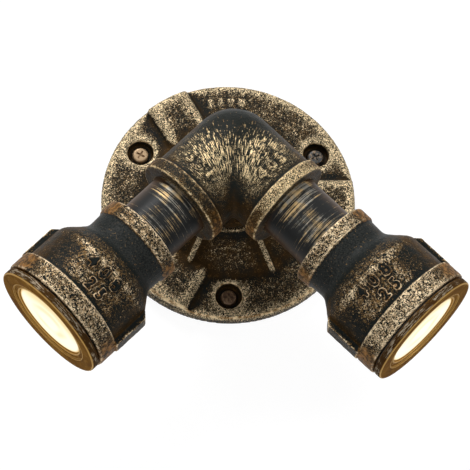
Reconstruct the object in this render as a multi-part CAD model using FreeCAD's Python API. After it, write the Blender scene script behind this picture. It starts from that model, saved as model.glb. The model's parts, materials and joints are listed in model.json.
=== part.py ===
import FreeCAD, Part
import math
import os

# Wall light made of threaded iron pipe fittings. A round flange is screwed to the wall, a side
# outlet elbow turns on a short nipple in it, and two arms point down and outwards at 45 degrees.
# Each arm is a nipple, a bell reducer and a lamp that screws into the bell's mouth.
# Row frame in mm: origin at the centre of the flange's back face, +X right as seen from the room,
# +Y into the wall, +Z up.

V = FreeCAD.Vector

# ---- fits -------------------------------------------------------------------------------------
thread_gap = 0.05          # radial gap of a made-up pipe thread
screw_gap = 0.05           # radial gap of a small screw in its hole
wire_gap = 0.15            # radial gap of a wire in its terminal
end_gap = 0.3              # gap between a wire's end and the driver that turns past it
seat_gap = 0.1             # radial gap of lens, reflector and snap ring in the bezel
relief = 0.8               # bores open out by this much behind a thread
cut_over = 1.0             # cuts run this far past the faces they open
root_low = 1.0             # pads and ribs start this far above the wall face, inside the disc
root_sunk = 2.0            # and this far inside the hub
hole_spare = 0.5           # blind holes are this much deeper than their screws
slot_reach = 1.15          # length of a cross slot over its screw head's radius
fine_round = 0.3           # round of the lamp's fine edges

# ---- pipe and threads -------------------------------------------------------------------------
pipe_r = 16.7              # 1 inch pipe, outside
pipe_wall = 3.4
pipe_bore_r = pipe_r - pipe_wall
nipple_length = 50.8       # 2 inch nipple in each arm
nipple_chamfer = 1.2
lamp_thread_r = 24.1       # 1 1/2 inch thread of the bell's mouth
lamp_thread_pitch = 2.209  # 11.5 threads to the inch
lamp_thread_depth = 0.7
lamp_thread_half = 0.8     # half the width of a thread groove

# ---- wall flange (z from the wall, r from the centre) ------------------------------------------
flange_r = 65.0
rim_thickness = 6.0
rim_round = 2.0
back_edge_round = 0.6
disc_rise = 1.2            # the disc is this much thicker at the hub's foot than at the rim
hub_wall = 7.7             # iron round the pipe at the hub's top
hub_top_r = pipe_r + hub_wall
hub_spread = 17.6          # hub's foot beyond its top
hub_foot_r = hub_top_r + hub_spread
hub_collar = 3.2           # straight part at the hub's top
hub_collar_taper = 0.6     # the collar is this much wider at its foot
hub_collar_round = 1.0
hub_edge_round = 0.8
hub_height = 24.9
hub_blend = 4.0            # hollow round where the hub meets the disc
pad_count = 3
pad_width = 25.0
pad_draft = 1.0            # each side of the pad leans in by this much
pad_rise = 4.3             # above the rim's front face
pad_round = 4.0
pad_inset = 0.5            # pad ends this far inside the rim
rib_count = 6
rib_thickness = 3.2
rib_reach = 4.5            # beyond the hub's foot
rib_tip_rise = 0.6         # rib's outer end above the rim's front face
rib_top_drop = 1.6         # from the hub's top to the rib's upper end
rib_round = 1.1
recess_ledge = 10.3        # recess floor beside the pipe
recess_r = pipe_r + recess_ledge
recess_depth = 9.0         # wiring recess in the back

# ---- wall screws ------------------------------------------------------------------------------
screw_edge = 13.0          # screw centres inside the rim
screw_circle_r = flange_r - screw_edge
screw_count = 3
screw_first_angle = 30.0
screw_pocket_r = 6.6
screw_floor = 1.6          # iron left under each screw head
screw_head_r = 4.1
screw_head_height = 2.4
screw_head_round = 1.2
screw_neck_r = 2.4         # plain neck under the head
screw_neck_past = 0.5      # neck ends this far beyond the wall face
screw_shank_r = 2.2
screw_hole_gap = 0.3       # around the neck
screw_length = 32.0        # beyond the wall face
screw_tip = 6.0
slot_width = 1.0
slot_depth = 1.3

# ---- earth screw in the recess ----------------------------------------------------------------
earth_place_r = pipe_r + recess_ledge / 2.0
earth_screw_r = 2.0
earth_screw_depth = 8.0
earth_head_r = 3.5
earth_head_height = 2.6
earth_head_round = 0.8
earth_washer_r = 4.2
earth_washer_thickness = 0.8

# ---- rear nipple and its insulating bush -------------------------------------------------------
rear_inset = 0.5           # nipple's wall end from the recess floor
rear_engagement = 18.6     # nipple in the elbow
elbow_stand_off = 2.0      # elbow's rear end from the hub's top
bush_bore_r = 9.0
bush_lip_inset = 0.5       # lip inside the pipe's outside
bush_lip = 2.0
bush_sleeve = 10.0
bush_round = 0.6

# ---- side outlet elbow ------------------------------------------------------------------------
elbow_reach = 38.1         # centre to each end
elbow_wall = 5.0
elbow_cavity_r = pipe_r + thread_gap + relief
elbow_body_r = elbow_cavity_r + elbow_wall
elbow_band_rise = 1.5
elbow_band_r = elbow_body_r + elbow_band_rise
elbow_band = 7.1
elbow_thread = 14.0
band_round = 1.0
elbow_off_wall = hub_height + elbow_stand_off + elbow_reach
arm_angle = 45.0           # each arm from straight down

# ---- arms -------------------------------------------------------------------------------------
visible_pipe = 24.2        # pipe seen between elbow and bell
right_back_off = 3.25      # the right bell is screwed on this much less far

# ---- bell reducer (t from its small end) --------------------------------------------------------
bell_thread = 14.0
bell_neck_bore_r = pipe_r + thread_gap + relief
waist_wall = 3.65
bell_waist_r = bell_neck_bore_r + waist_wall
neck_taper = 0.4           # the neck is this much wider beside the small band
neck_round = 0.5
small_band_rise = 1.55     # above the waist
bell_small_band_r = bell_waist_r + small_band_rise
bell_small_band = 8.1
bell_waist_at = 17.6       # small end to waist
bell_shoulder = 10.6       # waist to the shoulder's end
bell_body = 31.4           # shoulder's end to mouth
bell_length = bell_waist_at + bell_shoulder + bell_body
bell_flare_after = 1.9     # hollow starts to open out this far beyond the waist
cavity_relief = 1.7        # cavity beyond the mouth's thread
cavity_plain = 4.3         # straight cavity between the flare and that relief
body_wall = 4.2
body_draft = 0.3           # the body is this much slimmer at the shoulder
bell_cavity_r = lamp_thread_r + cavity_relief
bell_body_r = bell_cavity_r + body_wall
big_band_rise = 2.0
bell_big_band_r = bell_body_r + big_band_rise
bell_big_band = 10.3
bell_mouth_thread = 23.6
shoulder_round = 7.0
lug_width = 9.2
lug_rise = 2.8
lug_lead = 0.6             # lug starts this far before the shoulder's end
lug_slope = 3.0
lug_lap = 1.0              # lug runs this far onto the big band

# ---- lamp, measured along the arm from the bell's mouth, + is outwards -------------------------
seal_thickness = 0.9
seal_inset = 1.8           # seal inside the bezel's edge
bezel_inset = 0.8          # bezel inside the big band
bezel_r = bell_big_band_r - bezel_inset
bezel_thickness = 3.95
bezel_edge = 0.6
collar_length = 13.3       # threaded collar behind the bezel's back face
collar_wall = 1.6
collar_bore_r = lamp_thread_r - collar_wall
lens_flange_r = collar_bore_r - seat_gap
lens_rebate = 2.0          # lens front inside its flange
lens_r = lens_flange_r - lens_rebate
lens_flange = 2.1
lens_gap = 0.3             # around the lens in the bezel's lip
lens_inset = 0.5           # lens front edge behind the bezel's step face
lens_dome = 0.4
lens_round = 0.4
gasket_thickness = 0.8
bezel_step_width = 3.4     # step face outside the lens
bezel_step = 1.0
bezel_lip = 1.0
reflector_flange = 0.8
reflector_rear_r = 7.6
reflector_wall = 0.8
reflector_inset = 0.5      # reflector's front inside the lens
retainer_thickness = 1.3
retainer_width = 1.4

# ---- lamp engine (places along the arm are behind the bell's mouth) -----------------------------
heat_disc_front = 15.9     # mouth to the heat sink's front face
heat_disc = 6.0
fin_length = 8.0
fin_inset = 4.1            # fins inside the mouth's thread
fin_thickness = 1.6
fin_count = 12
heat_core_r = 7.0
heat_core_stub = 0.5       # core behind the fins
heat_round = 0.5
board_r = 11.0
board_thickness = 1.6
emitter_r = 6.3
emitter_thickness = 0.8
board_screw_inset = 2.3    # board screws inside the board's edge
board_screw_place = board_r - board_screw_inset
board_screw_r = 1.25
board_screw_depth = 4.5
board_screw_head_r = 1.9
board_screw_head = 1.3
board_screw_round = 0.6
board_slot_width = 0.6
board_slot_depth = 0.7
reflector_clear = 0.6      # reflector above the board screws' heads
lead_r = 0.8
lead_place = 4.6
driver_inset = 3.0         # driver inside the bell's neck
driver_r = bell_neck_bore_r - driver_inset
driver_clear = 1.7         # between the neck's thread and the driver
driver_round = 1.5

# ---- wiring -----------------------------------------------------------------------------------
wire_r = 1.3
wire_pair_half = 2.2       # each wire from the arm's middle plane
wire_drop_x = 4.0          # wires leave the terminal block this far from the middle
wire_bend_r = 12.0
block_width = 17.0
block_depth = 11.0
block_height = 11.0
block_bottom = 2.2         # above the arm axes' meeting point
block_round = 1.0
block_hole_depth = 5.0
supply_hole_depth = 2.6
wire_in_block = 4.0
block_screw_r = 1.3
block_screw_length = 2.6
block_screw_sunk = 0.4     # screw heads below the block's faces
block_screw_z = 7.5        # above the block's bottom


# ---- helpers ----------------------------------------------------------------------------------
def outline(corners):
    """Closed wire in the XZ plane through (x, z) or (x, z, round) corners."""
    count = len(corners)
    edges = []
    starts = []
    ends = []
    for i in range(count):
        here = V(corners[i][0], 0, corners[i][1])
        before = V(corners[i - 1][0], 0, corners[i - 1][1])
        after = V(corners[(i + 1) % count][0], 0, corners[(i + 1) % count][1])
        radius = corners[i][2] if len(corners[i]) > 2 else 0.0
        back = (before - here).normalize()
        ahead = (after - here).normalize()
        half = back.getAngle(ahead) / 2.0
        if radius == 0.0 or abs(half - math.pi / 2.0) < 1e-6:
            starts.append(here)
            ends.append(here)
            continue
        reach = radius / math.tan(half)
        first = here + back * reach
        last = here + ahead * reach
        middle_line = (back + ahead).normalize()
        middle = here + middle_line * (radius / math.sin(half) - radius)
        edges.append((i, Part.Arc(first, middle, last).toShape()))
        starts.append(first)
        ends.append(last)
    arcs = dict(edges)
    ordered = []
    for i in range(count):
        if i in arcs:
            ordered.append(arcs[i])
        following = (i + 1) % count
        if (starts[following] - ends[i]).Length > 1e-6:
            ordered.append(Part.LineSegment(ends[i], starts[following]).toShape())
    return Part.Wire(ordered)


def turned(corners):
    """Solid of revolution about Z from an (r, z) outline."""
    face = Part.Face(outline(corners))
    return face.revolve(V(0, 0, 0), V(0, 0, 1), 360)


def slab(corners, thickness):
    """Plate of the given thickness, centred on the XZ plane, from an (x, z) outline."""
    face = Part.Face(outline(corners))
    face.translate(V(0, -thickness / 2.0, 0))
    return face.extrude(V(0, thickness, 0))


def ring(inner_r, outer_r, low, high):
    """Plain ring about Z."""
    return turned([(inner_r, low), (outer_r, low), (outer_r, high), (inner_r, high)])


def rod(radius, low, high, x=0.0, y=0.0):
    """Round bar along Z between two heights."""
    return Part.makeCylinder(radius, high - low, V(x, y, low), V(0, 0, 1))


def spun(shape, degrees):
    """Copy of a shape turned about Z."""
    copy = shape.copy()
    copy.rotate(V(0, 0, 0), V(0, 0, 1), degrees)
    return copy


def round_pattern(shape, count, first=0.0):
    """Copies of a shape spread evenly about Z."""
    return [spun(shape, first + i * 360.0 / count) for i in range(count)]


def cross_slot(width, length, low, high, x=0.0, y=0.0):
    """Cross for a screwdriver, to be cut from a screw head."""
    bars = []
    for size_x, size_y in ((length, width), (width, length)):
        corner = V(x - size_x / 2.0, y - size_y / 2.0, low)
        bars.append(Part.makeBox(size_x, size_y, high - low, corner))
    return bars[0].fuse(bars[1])


def placed(shape, placement):
    """Copy of a shape moved into the row frame."""
    copy = shape.copy()
    copy.Placement = placement.multiply(copy.Placement)
    return copy


def save(name, shapes):
    """Write one node from one or more solids."""
    if not isinstance(shapes, list):
        shapes = [shapes]
    solids = [solid for shape in shapes for solid in shape.Solids]
    for solid in solids:
        if not solid.isValid():
            print("not valid:", name)
    whole = solids[0] if len(solids) == 1 else Part.makeCompound(solids)
    whole.exportStep("parts/" + name + ".step")
    print(name, len(solids), "solids", round(sum(solid.Volume for solid in solids)), "mm3")


# Flange frame: z comes out of the wall, y is up. Arm frame: z runs out along the arm from the
# elbow's centre, y points into the wall.
wall_frame = FreeCAD.Placement(V(0, 0, 0), FreeCAD.Rotation(V(1, 0, 0), 90))


def arm_frame(side):
    """side is -1 for the left arm and +1 for the right one."""
    turn = FreeCAD.Rotation(V(0, 1, 0), side * (180.0 - arm_angle))
    return FreeCAD.Placement(V(0, -elbow_off_wall, 0), turn)


# ---- wall side --------------------------------------------------------------------------------
def flange_pad():
    """Wide raised pad from the hub to the rim, along +X."""
    half = pad_width / 2.0
    top = rim_thickness + pad_rise
    lean = half - pad_draft
    section = outline([(-half, root_low), (half, root_low), (lean, top, pad_round), (-lean, top, pad_round)])
    section.rotate(V(0, 0, 0), V(0, 0, 1), 90)
    section.translate(V(hub_top_r - root_sunk, 0, 0))
    bar = Part.Face(section).extrude(V(flange_r, 0, 0))
    end_r = flange_r - pad_inset
    limit = turned([(0.0, root_low), (end_r, root_low), (end_r, top, rim_round), (0.0, top)])
    return bar.common(limit)


def flange_rib():
    """Thin web from the hub's top down to the disc, along +X."""
    top = hub_height - rib_top_drop
    inner = hub_top_r - root_sunk
    reach = hub_foot_r + rib_reach
    web = slab([(inner, root_low), (reach, root_low), (reach, rim_thickness + rib_tip_rise),
                (hub_top_r + hub_collar_taper, top), (inner, top)], rib_thickness)
    sloping = [edge for edge in web.Edges if min(edge.BoundBox.XLength, edge.BoundBox.ZLength) > root_low]
    return web.makeFillet(rib_round, sloping)


def wall_flange():
    """Cast flange with hub, pads, ribs, screw pockets and a wiring recess in its back."""
    foot_z = rim_thickness + disc_rise
    collar_z = hub_height - hub_collar
    bore_r = pipe_r + thread_gap
    body = turned([
        (bore_r, 0.0), (flange_r, 0.0, back_edge_round), (flange_r, rim_thickness, rim_round),
        (hub_foot_r, foot_z, hub_blend), (hub_top_r + hub_collar_taper, collar_z, hub_collar_round),
        (hub_top_r, hub_height, hub_edge_round), (bore_r, hub_height),
    ])
    parts = round_pattern(flange_pad(), pad_count)
    parts += round_pattern(flange_rib(), rib_count)
    body = body.multiFuse(parts)
    pocket = rod(screw_pocket_r, screw_floor, hub_height, screw_circle_r)
    clearance = rod(screw_neck_r + screw_hole_gap, -cut_over, screw_floor + cut_over, screw_circle_r)
    earth_hole_end = recess_depth + earth_screw_depth + hole_spare
    tools = [rod(recess_r, -cut_over, recess_depth)]
    tools.append(rod(bore_r, recess_depth - cut_over, hub_height + cut_over))
    tools += round_pattern(pocket, screw_count, screw_first_angle)
    tools += round_pattern(clearance, screw_count, screw_first_angle)
    tools.append(rod(earth_screw_r + screw_gap, recess_depth - cut_over, earth_hole_end, 0.0, earth_place_r))
    return body.cut(tools).removeSplitter()


def wall_screws():
    """Pan head wall screws in the flange's pockets, their shanks standing out of the back."""
    head_top = screw_floor + screw_head_height
    screw = turned([
        (0.0, -screw_length), (screw_shank_r, -screw_length + screw_tip),
        (screw_shank_r, -screw_neck_past), (screw_neck_r, -screw_neck_past), (screw_neck_r, screw_floor),
        (screw_head_r, screw_floor), (screw_head_r, head_top, screw_head_round), (0.0, head_top),
    ])
    slot_length = screw_head_r * slot_reach
    screw = screw.cut(cross_slot(slot_width, slot_length, head_top - slot_depth, head_top + cut_over))
    screw.translate(V(screw_circle_r, 0, 0))
    return round_pattern(screw, screw_count, screw_first_angle)


def rear_nipple():
    """Short nipple that joins flange and elbow and lets the elbow turn."""
    elbow_end_z = elbow_off_wall - elbow_reach
    return nipple(recess_depth + rear_inset, elbow_end_z + rear_engagement)


def nipple(low, high):
    """Pipe with chamfered ends between two places on its axis."""
    return turned([
        (pipe_bore_r, low), (pipe_r - nipple_chamfer, low), (pipe_r, low + nipple_chamfer),
        (pipe_r, high - nipple_chamfer), (pipe_r - nipple_chamfer, high), (pipe_bore_r, high),
    ])


def insulating_bush():
    """Lipped sleeve at the wall end of the rear nipple, where the supply wires come in."""
    face = recess_depth + rear_inset
    lip_r = pipe_r - bush_lip_inset
    return turned([
        (bush_bore_r, face - bush_lip, bush_round), (lip_r, face - bush_lip, bush_round), (lip_r, face),
        (pipe_bore_r - thread_gap, face), (pipe_bore_r - thread_gap, face + bush_sleeve),
        (bush_bore_r, face + bush_sleeve),
    ])


def earth_parts():
    """Earth screw and its washer, set in the recess floor from the wall side."""
    washer_low = recess_depth - earth_washer_thickness
    head_low = washer_low - earth_head_height
    washer = ring(earth_screw_r + screw_gap, earth_washer_r, washer_low, recess_depth)
    screw = turned([
        (0.0, head_low), (earth_head_r, head_low, earth_head_round), (earth_head_r, washer_low),
        (earth_screw_r, washer_low), (earth_screw_r, recess_depth + earth_screw_depth),
        (0.0, recess_depth + earth_screw_depth),
    ])
    slot_length = earth_head_r * slot_reach
    screw = screw.cut(cross_slot(slot_width, slot_length, head_low - cut_over, head_low + slot_depth))
    for shape in (washer, screw):
        shape.translate(V(0, earth_place_r, 0))
    return screw, washer


# ---- elbow ------------------------------------------------------------------------------------
def elbow_end():
    """Outside of one elbow branch with its end band, along +Z."""
    low = elbow_reach - elbow_band
    barrel = rod(elbow_body_r, 0.0, elbow_reach - elbow_band / 2.0)
    band = turned([
        (0.0, low), (elbow_band_r, low, band_round), (elbow_band_r, elbow_reach, band_round),
        (0.0, elbow_reach),
    ])
    return barrel.fuse(band)


def elbow_hollow():
    """Cavity and thread bore of one branch, along +Z."""
    cavity = rod(elbow_cavity_r, 0.0, elbow_reach - elbow_thread)
    return cavity.fuse(rod(pipe_r + thread_gap, 0.0, elbow_reach + cut_over))


def side_outlet_elbow():
    """Three-way casting: two arms in front and one outlet to the wall."""
    rear = FreeCAD.Placement(V(0, -elbow_off_wall, 0), FreeCAD.Rotation(V(1, 0, 0), -90))
    frames = [arm_frame(-1), arm_frame(1), rear]
    centre = V(0, -elbow_off_wall, 0)
    body = Part.makeSphere(elbow_body_r, centre)
    hollow = Part.makeSphere(elbow_cavity_r, centre)
    body = body.multiFuse([placed(elbow_end(), frame) for frame in frames])
    hollow = hollow.multiFuse([placed(elbow_hollow(), frame) for frame in frames])
    return body.cut(hollow).removeSplitter()


def terminal_block():
    """Connector in the elbow where the supply joins both arms' wires, with its screws."""
    low = block_bottom
    corner = V(-block_width / 2.0, -block_depth / 2.0, low)
    block = Part.makeBox(block_width, block_depth, block_height, corner)
    upright = [edge for edge in block.Edges if edge.BoundBox.ZLength > block_height / 2.0]
    block = block.makeFillet(block_round, upright)
    tools = []
    screws = []
    for x in (-wire_drop_x, wire_drop_x):
        for y in (-wire_pair_half, wire_pair_half):
            tools.append(rod(wire_r + wire_gap, low - cut_over, low + block_hole_depth, x, y))
        top = low + block_height
        tools.append(rod(wire_r + wire_gap, top - supply_hole_depth, top + cut_over, x))
        for face in (-1, 1):
            mouth = V(x, face * block_depth / 2.0, low + block_screw_z)
            inward = V(0, -face, 0)
            start = mouth + inward * block_screw_sunk
            hole_depth = block_screw_sunk + block_screw_length
            tools.append(Part.makeCylinder(block_screw_r + screw_gap, hole_depth, mouth, inward))
            screws.append(Part.makeCylinder(block_screw_r, block_screw_length, start, inward))
    seat = FreeCAD.Placement(V(0, -elbow_off_wall, 0), FreeCAD.Rotation())
    return placed(block.cut(tools), seat), [placed(screw, seat) for screw in screws]


# ---- arm parts, in the arm frame ----------------------------------------------------------------
def bell_start(side):
    """Place of the bell's small end on the arm."""
    return elbow_reach + visible_pipe + (right_back_off if side > 0 else 0.0)


def arm_nipple(side):
    """Nipple centred between the elbow and the bell, so both threads hold it alike."""
    middle = (elbow_reach + bell_start(side)) / 2.0
    return nipple(middle - nipple_length / 2.0, middle + nipple_length / 2.0)


def bell_reducer(start):
    """Bell with an end band at each end, a waist, a shoulder and two long lugs."""
    mouth = start + bell_length
    big_from = mouth - bell_big_band
    waist_z = start + bell_waist_at
    shoulder_z = waist_z + bell_shoulder
    relief_z = mouth - bell_mouth_thread - cavity_relief
    bore_r = pipe_r + thread_gap
    mouth_r = lamp_thread_r + thread_gap
    body = turned([
        (bore_r, start), (bell_small_band_r, start, band_round),
        (bell_small_band_r, start + bell_small_band, band_round),
        (bell_waist_r + neck_taper, start + bell_small_band, neck_round),
        (bell_waist_r, waist_z, shoulder_round), (bell_body_r - body_draft, shoulder_z, shoulder_round),
        (bell_body_r, big_from), (bell_big_band_r, big_from, band_round),
        (bell_big_band_r, mouth, band_round), (mouth_r, mouth), (mouth_r, mouth - bell_mouth_thread),
        (bell_cavity_r, relief_z), (bell_cavity_r, relief_z - cavity_plain),
        (bell_neck_bore_r, waist_z + bell_flare_after), (bell_neck_bore_r, start + bell_thread),
        (bore_r, start + bell_thread),
    ])
    low = shoulder_z - lug_lead
    root_r = bell_body_r - body_wall / 2.0
    top_r = bell_body_r + lug_rise
    lug = slab([(root_r, low), (bell_body_r - body_draft, low), (top_r, low + lug_slope),
                (top_r, big_from + lug_lap), (root_r, big_from + lug_lap)], lug_width)
    return body.multiFuse(round_pattern(lug, 2)).removeSplitter()


def bezel_ring(mouth):
    """Lamp ring with a threaded collar, a stepped front and a lip that holds the lens."""
    back = mouth + seal_thickness
    front = back + bezel_thickness
    step_z = front - bezel_step
    lip_z = step_z - bezel_lip
    collar_z = back - collar_length
    step_r = lens_r + bezel_step_width
    thread = []
    turns = int((collar_length - 4.0 * lamp_thread_half) / lamp_thread_pitch)
    for i in range(turns):
        root = collar_z + 2.0 * lamp_thread_half + i * lamp_thread_pitch
        thread += [(lamp_thread_r, root - lamp_thread_half), (lamp_thread_r - lamp_thread_depth, root),
                   (lamp_thread_r, root + lamp_thread_half)]
    return turned([(collar_bore_r, collar_z), (lamp_thread_r, collar_z)] + thread + [
        (lamp_thread_r, back), (bezel_r, back, bezel_edge), (bezel_r, front, bezel_edge),
        (step_r, front, fine_round), (step_r, step_z), (lens_r + lens_gap, step_z, fine_round),
        (lens_r + lens_gap, lip_z), (collar_bore_r, lip_z),
    ])


def lamp_optics(mouth):
    """Parts held inside the bezel, from the front: gasket, lens, reflector and snap ring."""
    step_z = mouth + seal_thickness + bezel_thickness - bezel_step
    lip_z = step_z - bezel_lip
    lens_seat = lip_z - gasket_thickness
    lens_back = lens_seat - lens_flange
    lens_front = step_z - lens_inset
    gasket = ring(lens_r + lens_gap, lens_flange_r, lens_seat, lip_z)
    lens = turned([(0.0, lens_back), (lens_flange_r, lens_back, fine_round), (lens_flange_r, lens_seat),
                   (lens_r, lens_seat), (lens_r, lens_front, lens_round), (0.0, lens_front + lens_dome)])
    flange_z = lens_back - reflector_flange
    rear_z = mouth - heat_disc_front + board_thickness + board_screw_head + reflector_clear
    front_r = lens_r - reflector_inset
    reflector = turned([
        (reflector_rear_r, rear_z), (reflector_rear_r + reflector_wall, rear_z),
        (front_r + reflector_wall, flange_z), (lens_flange_r, flange_z),
        (lens_flange_r, lens_back), (front_r, lens_back),
    ])
    retainer = ring(collar_bore_r - retainer_width, collar_bore_r - seat_gap,
                    flange_z - retainer_thickness, flange_z)
    return {"lens_gasket": gasket, "lens": lens, "reflector": reflector, "retaining_ring": retainer}


def heat_sink(front):
    """Threaded disc with a finned back that the LED board is screwed to."""
    disc_low = front - heat_disc
    fin_low = disc_low - fin_length
    disc_middle = front - heat_disc / 2.0
    disc = turned([(0.0, disc_low), (lamp_thread_r, disc_low, heat_round),
                   (lamp_thread_r, front, heat_round), (0.0, front)])
    core = rod(heat_core_r, fin_low - heat_core_stub, disc_middle)
    fin_r = lamp_thread_r - fin_inset
    fin = slab([(heat_core_r / 2.0, fin_low), (fin_r, fin_low), (fin_r, disc_middle),
                (heat_core_r / 2.0, disc_middle)], fin_thickness)
    body = disc.multiFuse([core] + round_pattern(fin, fin_count))
    tools = []
    for sign in (-1, 1):
        hole_low = front - board_screw_depth - hole_spare
        lead_low = fin_low - heat_core_stub - cut_over
        tools.append(rod(board_screw_r + screw_gap, hole_low, front + cut_over, sign * board_screw_place))
        tools.append(rod(lead_r + screw_gap, lead_low, front + cut_over, 0.0, sign * lead_place))
    return body.cut(tools)


def led_parts(front):
    """LED board, its emitter, the board's screws and the leads from the driver."""
    board_top = front + board_thickness
    board = turned([(0.0, front), (board_r, front), (board_r, board_top), (0.0, board_top)])
    holes = [rod(board_screw_r + screw_gap, front - cut_over, board_top + cut_over, sign * board_screw_place)
             for sign in (-1, 1)]
    emitter_top = board_top + emitter_thickness
    emitter = turned([(0.0, board_top), (emitter_r, board_top), (emitter_r, emitter_top, fine_round),
                      (0.0, emitter_top)])
    screws = []
    leads = []
    for sign in (-1, 1):
        head_top = board_top + board_screw_head
        screw = turned([
            (0.0, front - board_screw_depth), (board_screw_r, front - board_screw_depth),
            (board_screw_r, board_top), (board_screw_head_r, board_top),
            (board_screw_head_r, head_top, board_screw_round), (0.0, head_top),
        ])
        slot = cross_slot(board_slot_width, board_screw_head_r * slot_reach,
                          head_top - board_slot_depth, head_top + cut_over)
        screw = screw.cut(slot)
        screw.translate(V(sign * board_screw_place, 0, 0))
        screws.append(screw)
        low = front - heat_disc - fin_length - heat_core_stub
        leads.append(rod(lead_r, low, front, 0.0, sign * lead_place))
    return {"led_board": board.cut(holes), "led_emitter": emitter, "board_screws": screws, "led_leads": leads}


def driver(back, front):
    """Potted driver capsule in the bell's neck, behind the heat sink."""
    return turned([(0.0, back), (driver_r, back, driver_round),
                   (driver_r, front, driver_round), (0.0, front)])


# ---- wires, in the row frame --------------------------------------------------------------------
def arm_wire(side, offset, end):
    """Wire from the terminal block down, round one bend and along the arm to the driver."""
    y = -elbow_off_wall + offset
    slope = math.radians(arm_angle)
    along = V(side * math.sin(slope), 0, -math.cos(slope))
    corner = V(side * wire_drop_x, y, -wire_drop_x / math.tan(slope))
    tangent = wire_bend_r * math.tan(slope / 2.0)
    top = V(corner.x, y, block_bottom + wire_in_block)
    first = corner + V(0, 0, tangent)
    last = corner + along * tangent
    centre = first + V(side * wire_bend_r, 0, 0)
    middle = centre + V(-side * math.cos(slope / 2.0), 0, -math.sin(slope / 2.0)) * wire_bend_r
    finish = V(0, y, 0) + along * end
    path = Part.Wire([
        Part.LineSegment(top, first).toShape(),
        Part.Arc(first, middle, last).toShape(),
        Part.LineSegment(last, finish).toShape(),
    ])
    section = Part.Wire([Part.Circle(top, V(0, 0, 1), wire_r).toShape()])
    wire = path.makePipeShell([section], True, False)
    expected = math.pi * wire_r ** 2 * path.Length
    print("wire volume over section times length", round(wire.Volume / expected, 4), "bend", wire_bend_r)
    return wire


# ---- build ------------------------------------------------------------------------------------
def build():
    """Write every node."""
    os.makedirs("parts", exist_ok=True)
    save("wall_flange", placed(wall_flange(), wall_frame))
    save("wall_screws", [placed(screw, wall_frame) for screw in wall_screws()])
    save("rear_nipple", placed(rear_nipple(), wall_frame))
    save("insulating_bush", placed(insulating_bush(), wall_frame))
    earth_screw, earth_washer = earth_parts()
    save("earth_screw", placed(earth_screw, wall_frame))
    save("earth_washer", placed(earth_washer, wall_frame))
    save("side_outlet_elbow", side_outlet_elbow())
    block, block_screws = terminal_block()
    save("terminal_block", block)
    save("terminal_screws", block_screws)
    for side, name in ((-1, "left_"), (1, "right_")):
        frame = arm_frame(side)
        start = bell_start(side)
        mouth = start + bell_length
        heat_front = mouth - heat_disc_front
        driver_front = heat_front - heat_disc - fin_length - heat_core_stub
        driver_back = start + bell_thread + driver_clear
        pieces = {"nipple": arm_nipple(side), "bell_reducer": bell_reducer(start)}
        seal_end = mouth + seal_thickness
        pieces["bezel_seal"] = ring(lamp_thread_r + thread_gap, bezel_r - seal_inset, mouth, seal_end)
        pieces["bezel_ring"] = bezel_ring(mouth)
        pieces.update(lamp_optics(mouth))
        pieces["heat_sink"] = heat_sink(heat_front)
        pieces.update(led_parts(heat_front))
        pieces["led_driver"] = driver(driver_back, driver_front)
        for piece, shape in pieces.items():
            shapes = shape if isinstance(shape, list) else [shape]
            save(name + piece, [placed(one, frame) for one in shapes])
        wire_end = driver_back - end_gap
        for wire, offset in (("live_wire", -wire_pair_half), ("neutral_wire", wire_pair_half)):
            save(name + wire, arm_wire(side, offset, wire_end))


build()
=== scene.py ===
"""Looks of the pipe wall light: rough castings, scratched pipes, turned lamp rings, lit lenses, studio."""

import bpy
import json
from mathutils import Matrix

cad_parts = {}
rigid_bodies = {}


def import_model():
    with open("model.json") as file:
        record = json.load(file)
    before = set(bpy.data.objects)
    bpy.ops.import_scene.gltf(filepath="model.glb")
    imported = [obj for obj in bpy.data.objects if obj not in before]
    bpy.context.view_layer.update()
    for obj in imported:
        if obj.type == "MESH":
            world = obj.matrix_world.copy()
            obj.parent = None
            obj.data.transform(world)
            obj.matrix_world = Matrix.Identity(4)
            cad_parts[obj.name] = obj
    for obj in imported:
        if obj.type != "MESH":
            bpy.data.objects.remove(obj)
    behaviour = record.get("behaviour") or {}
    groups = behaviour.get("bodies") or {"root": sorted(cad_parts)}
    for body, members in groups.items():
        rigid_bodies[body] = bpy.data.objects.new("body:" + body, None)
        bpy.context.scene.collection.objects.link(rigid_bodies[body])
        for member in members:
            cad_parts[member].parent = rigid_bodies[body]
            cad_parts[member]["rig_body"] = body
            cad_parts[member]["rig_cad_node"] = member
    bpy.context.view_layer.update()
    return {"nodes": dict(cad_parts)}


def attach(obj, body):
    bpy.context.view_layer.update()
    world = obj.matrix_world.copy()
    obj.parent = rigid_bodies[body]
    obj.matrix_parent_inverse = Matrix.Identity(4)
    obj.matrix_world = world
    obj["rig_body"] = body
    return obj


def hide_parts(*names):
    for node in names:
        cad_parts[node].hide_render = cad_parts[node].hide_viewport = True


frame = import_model()

import json
import logging
import math
from dataclasses import dataclass, field
from enum import Enum
from typing import Any, Iterable, Sequence

import bpy
import numpy as np
from mathutils import Euler, Matrix, Vector

Colour = tuple[float, float, float]
Place = tuple[float, float, float]
Corner = tuple[float, ...]

MM = 0.001
IMAGE_WIDTH = 470
SENSOR = 36.0
MOST_TRIANGLES = 190000
SCREW_ANGLES = (30.0, 150.0, 270.0)
LEAN = 17.0
WHITE = (1.0, 1.0, 1.0, 1.0)
STEEL_GREY: Colour = (0.42, 0.41, 0.39)
log = logging.getLogger("pipe_wall_light")


# ---- places --------------------------------------------------------------------------------------
class Side(Enum):
    """The two arms, by the sign of their X direction."""

    LEFT = -1
    RIGHT = 1

    @property
    def label(self) -> str:
        """Prefix of this arm's nodes."""
        return self.name.lower() + "_"


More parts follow.
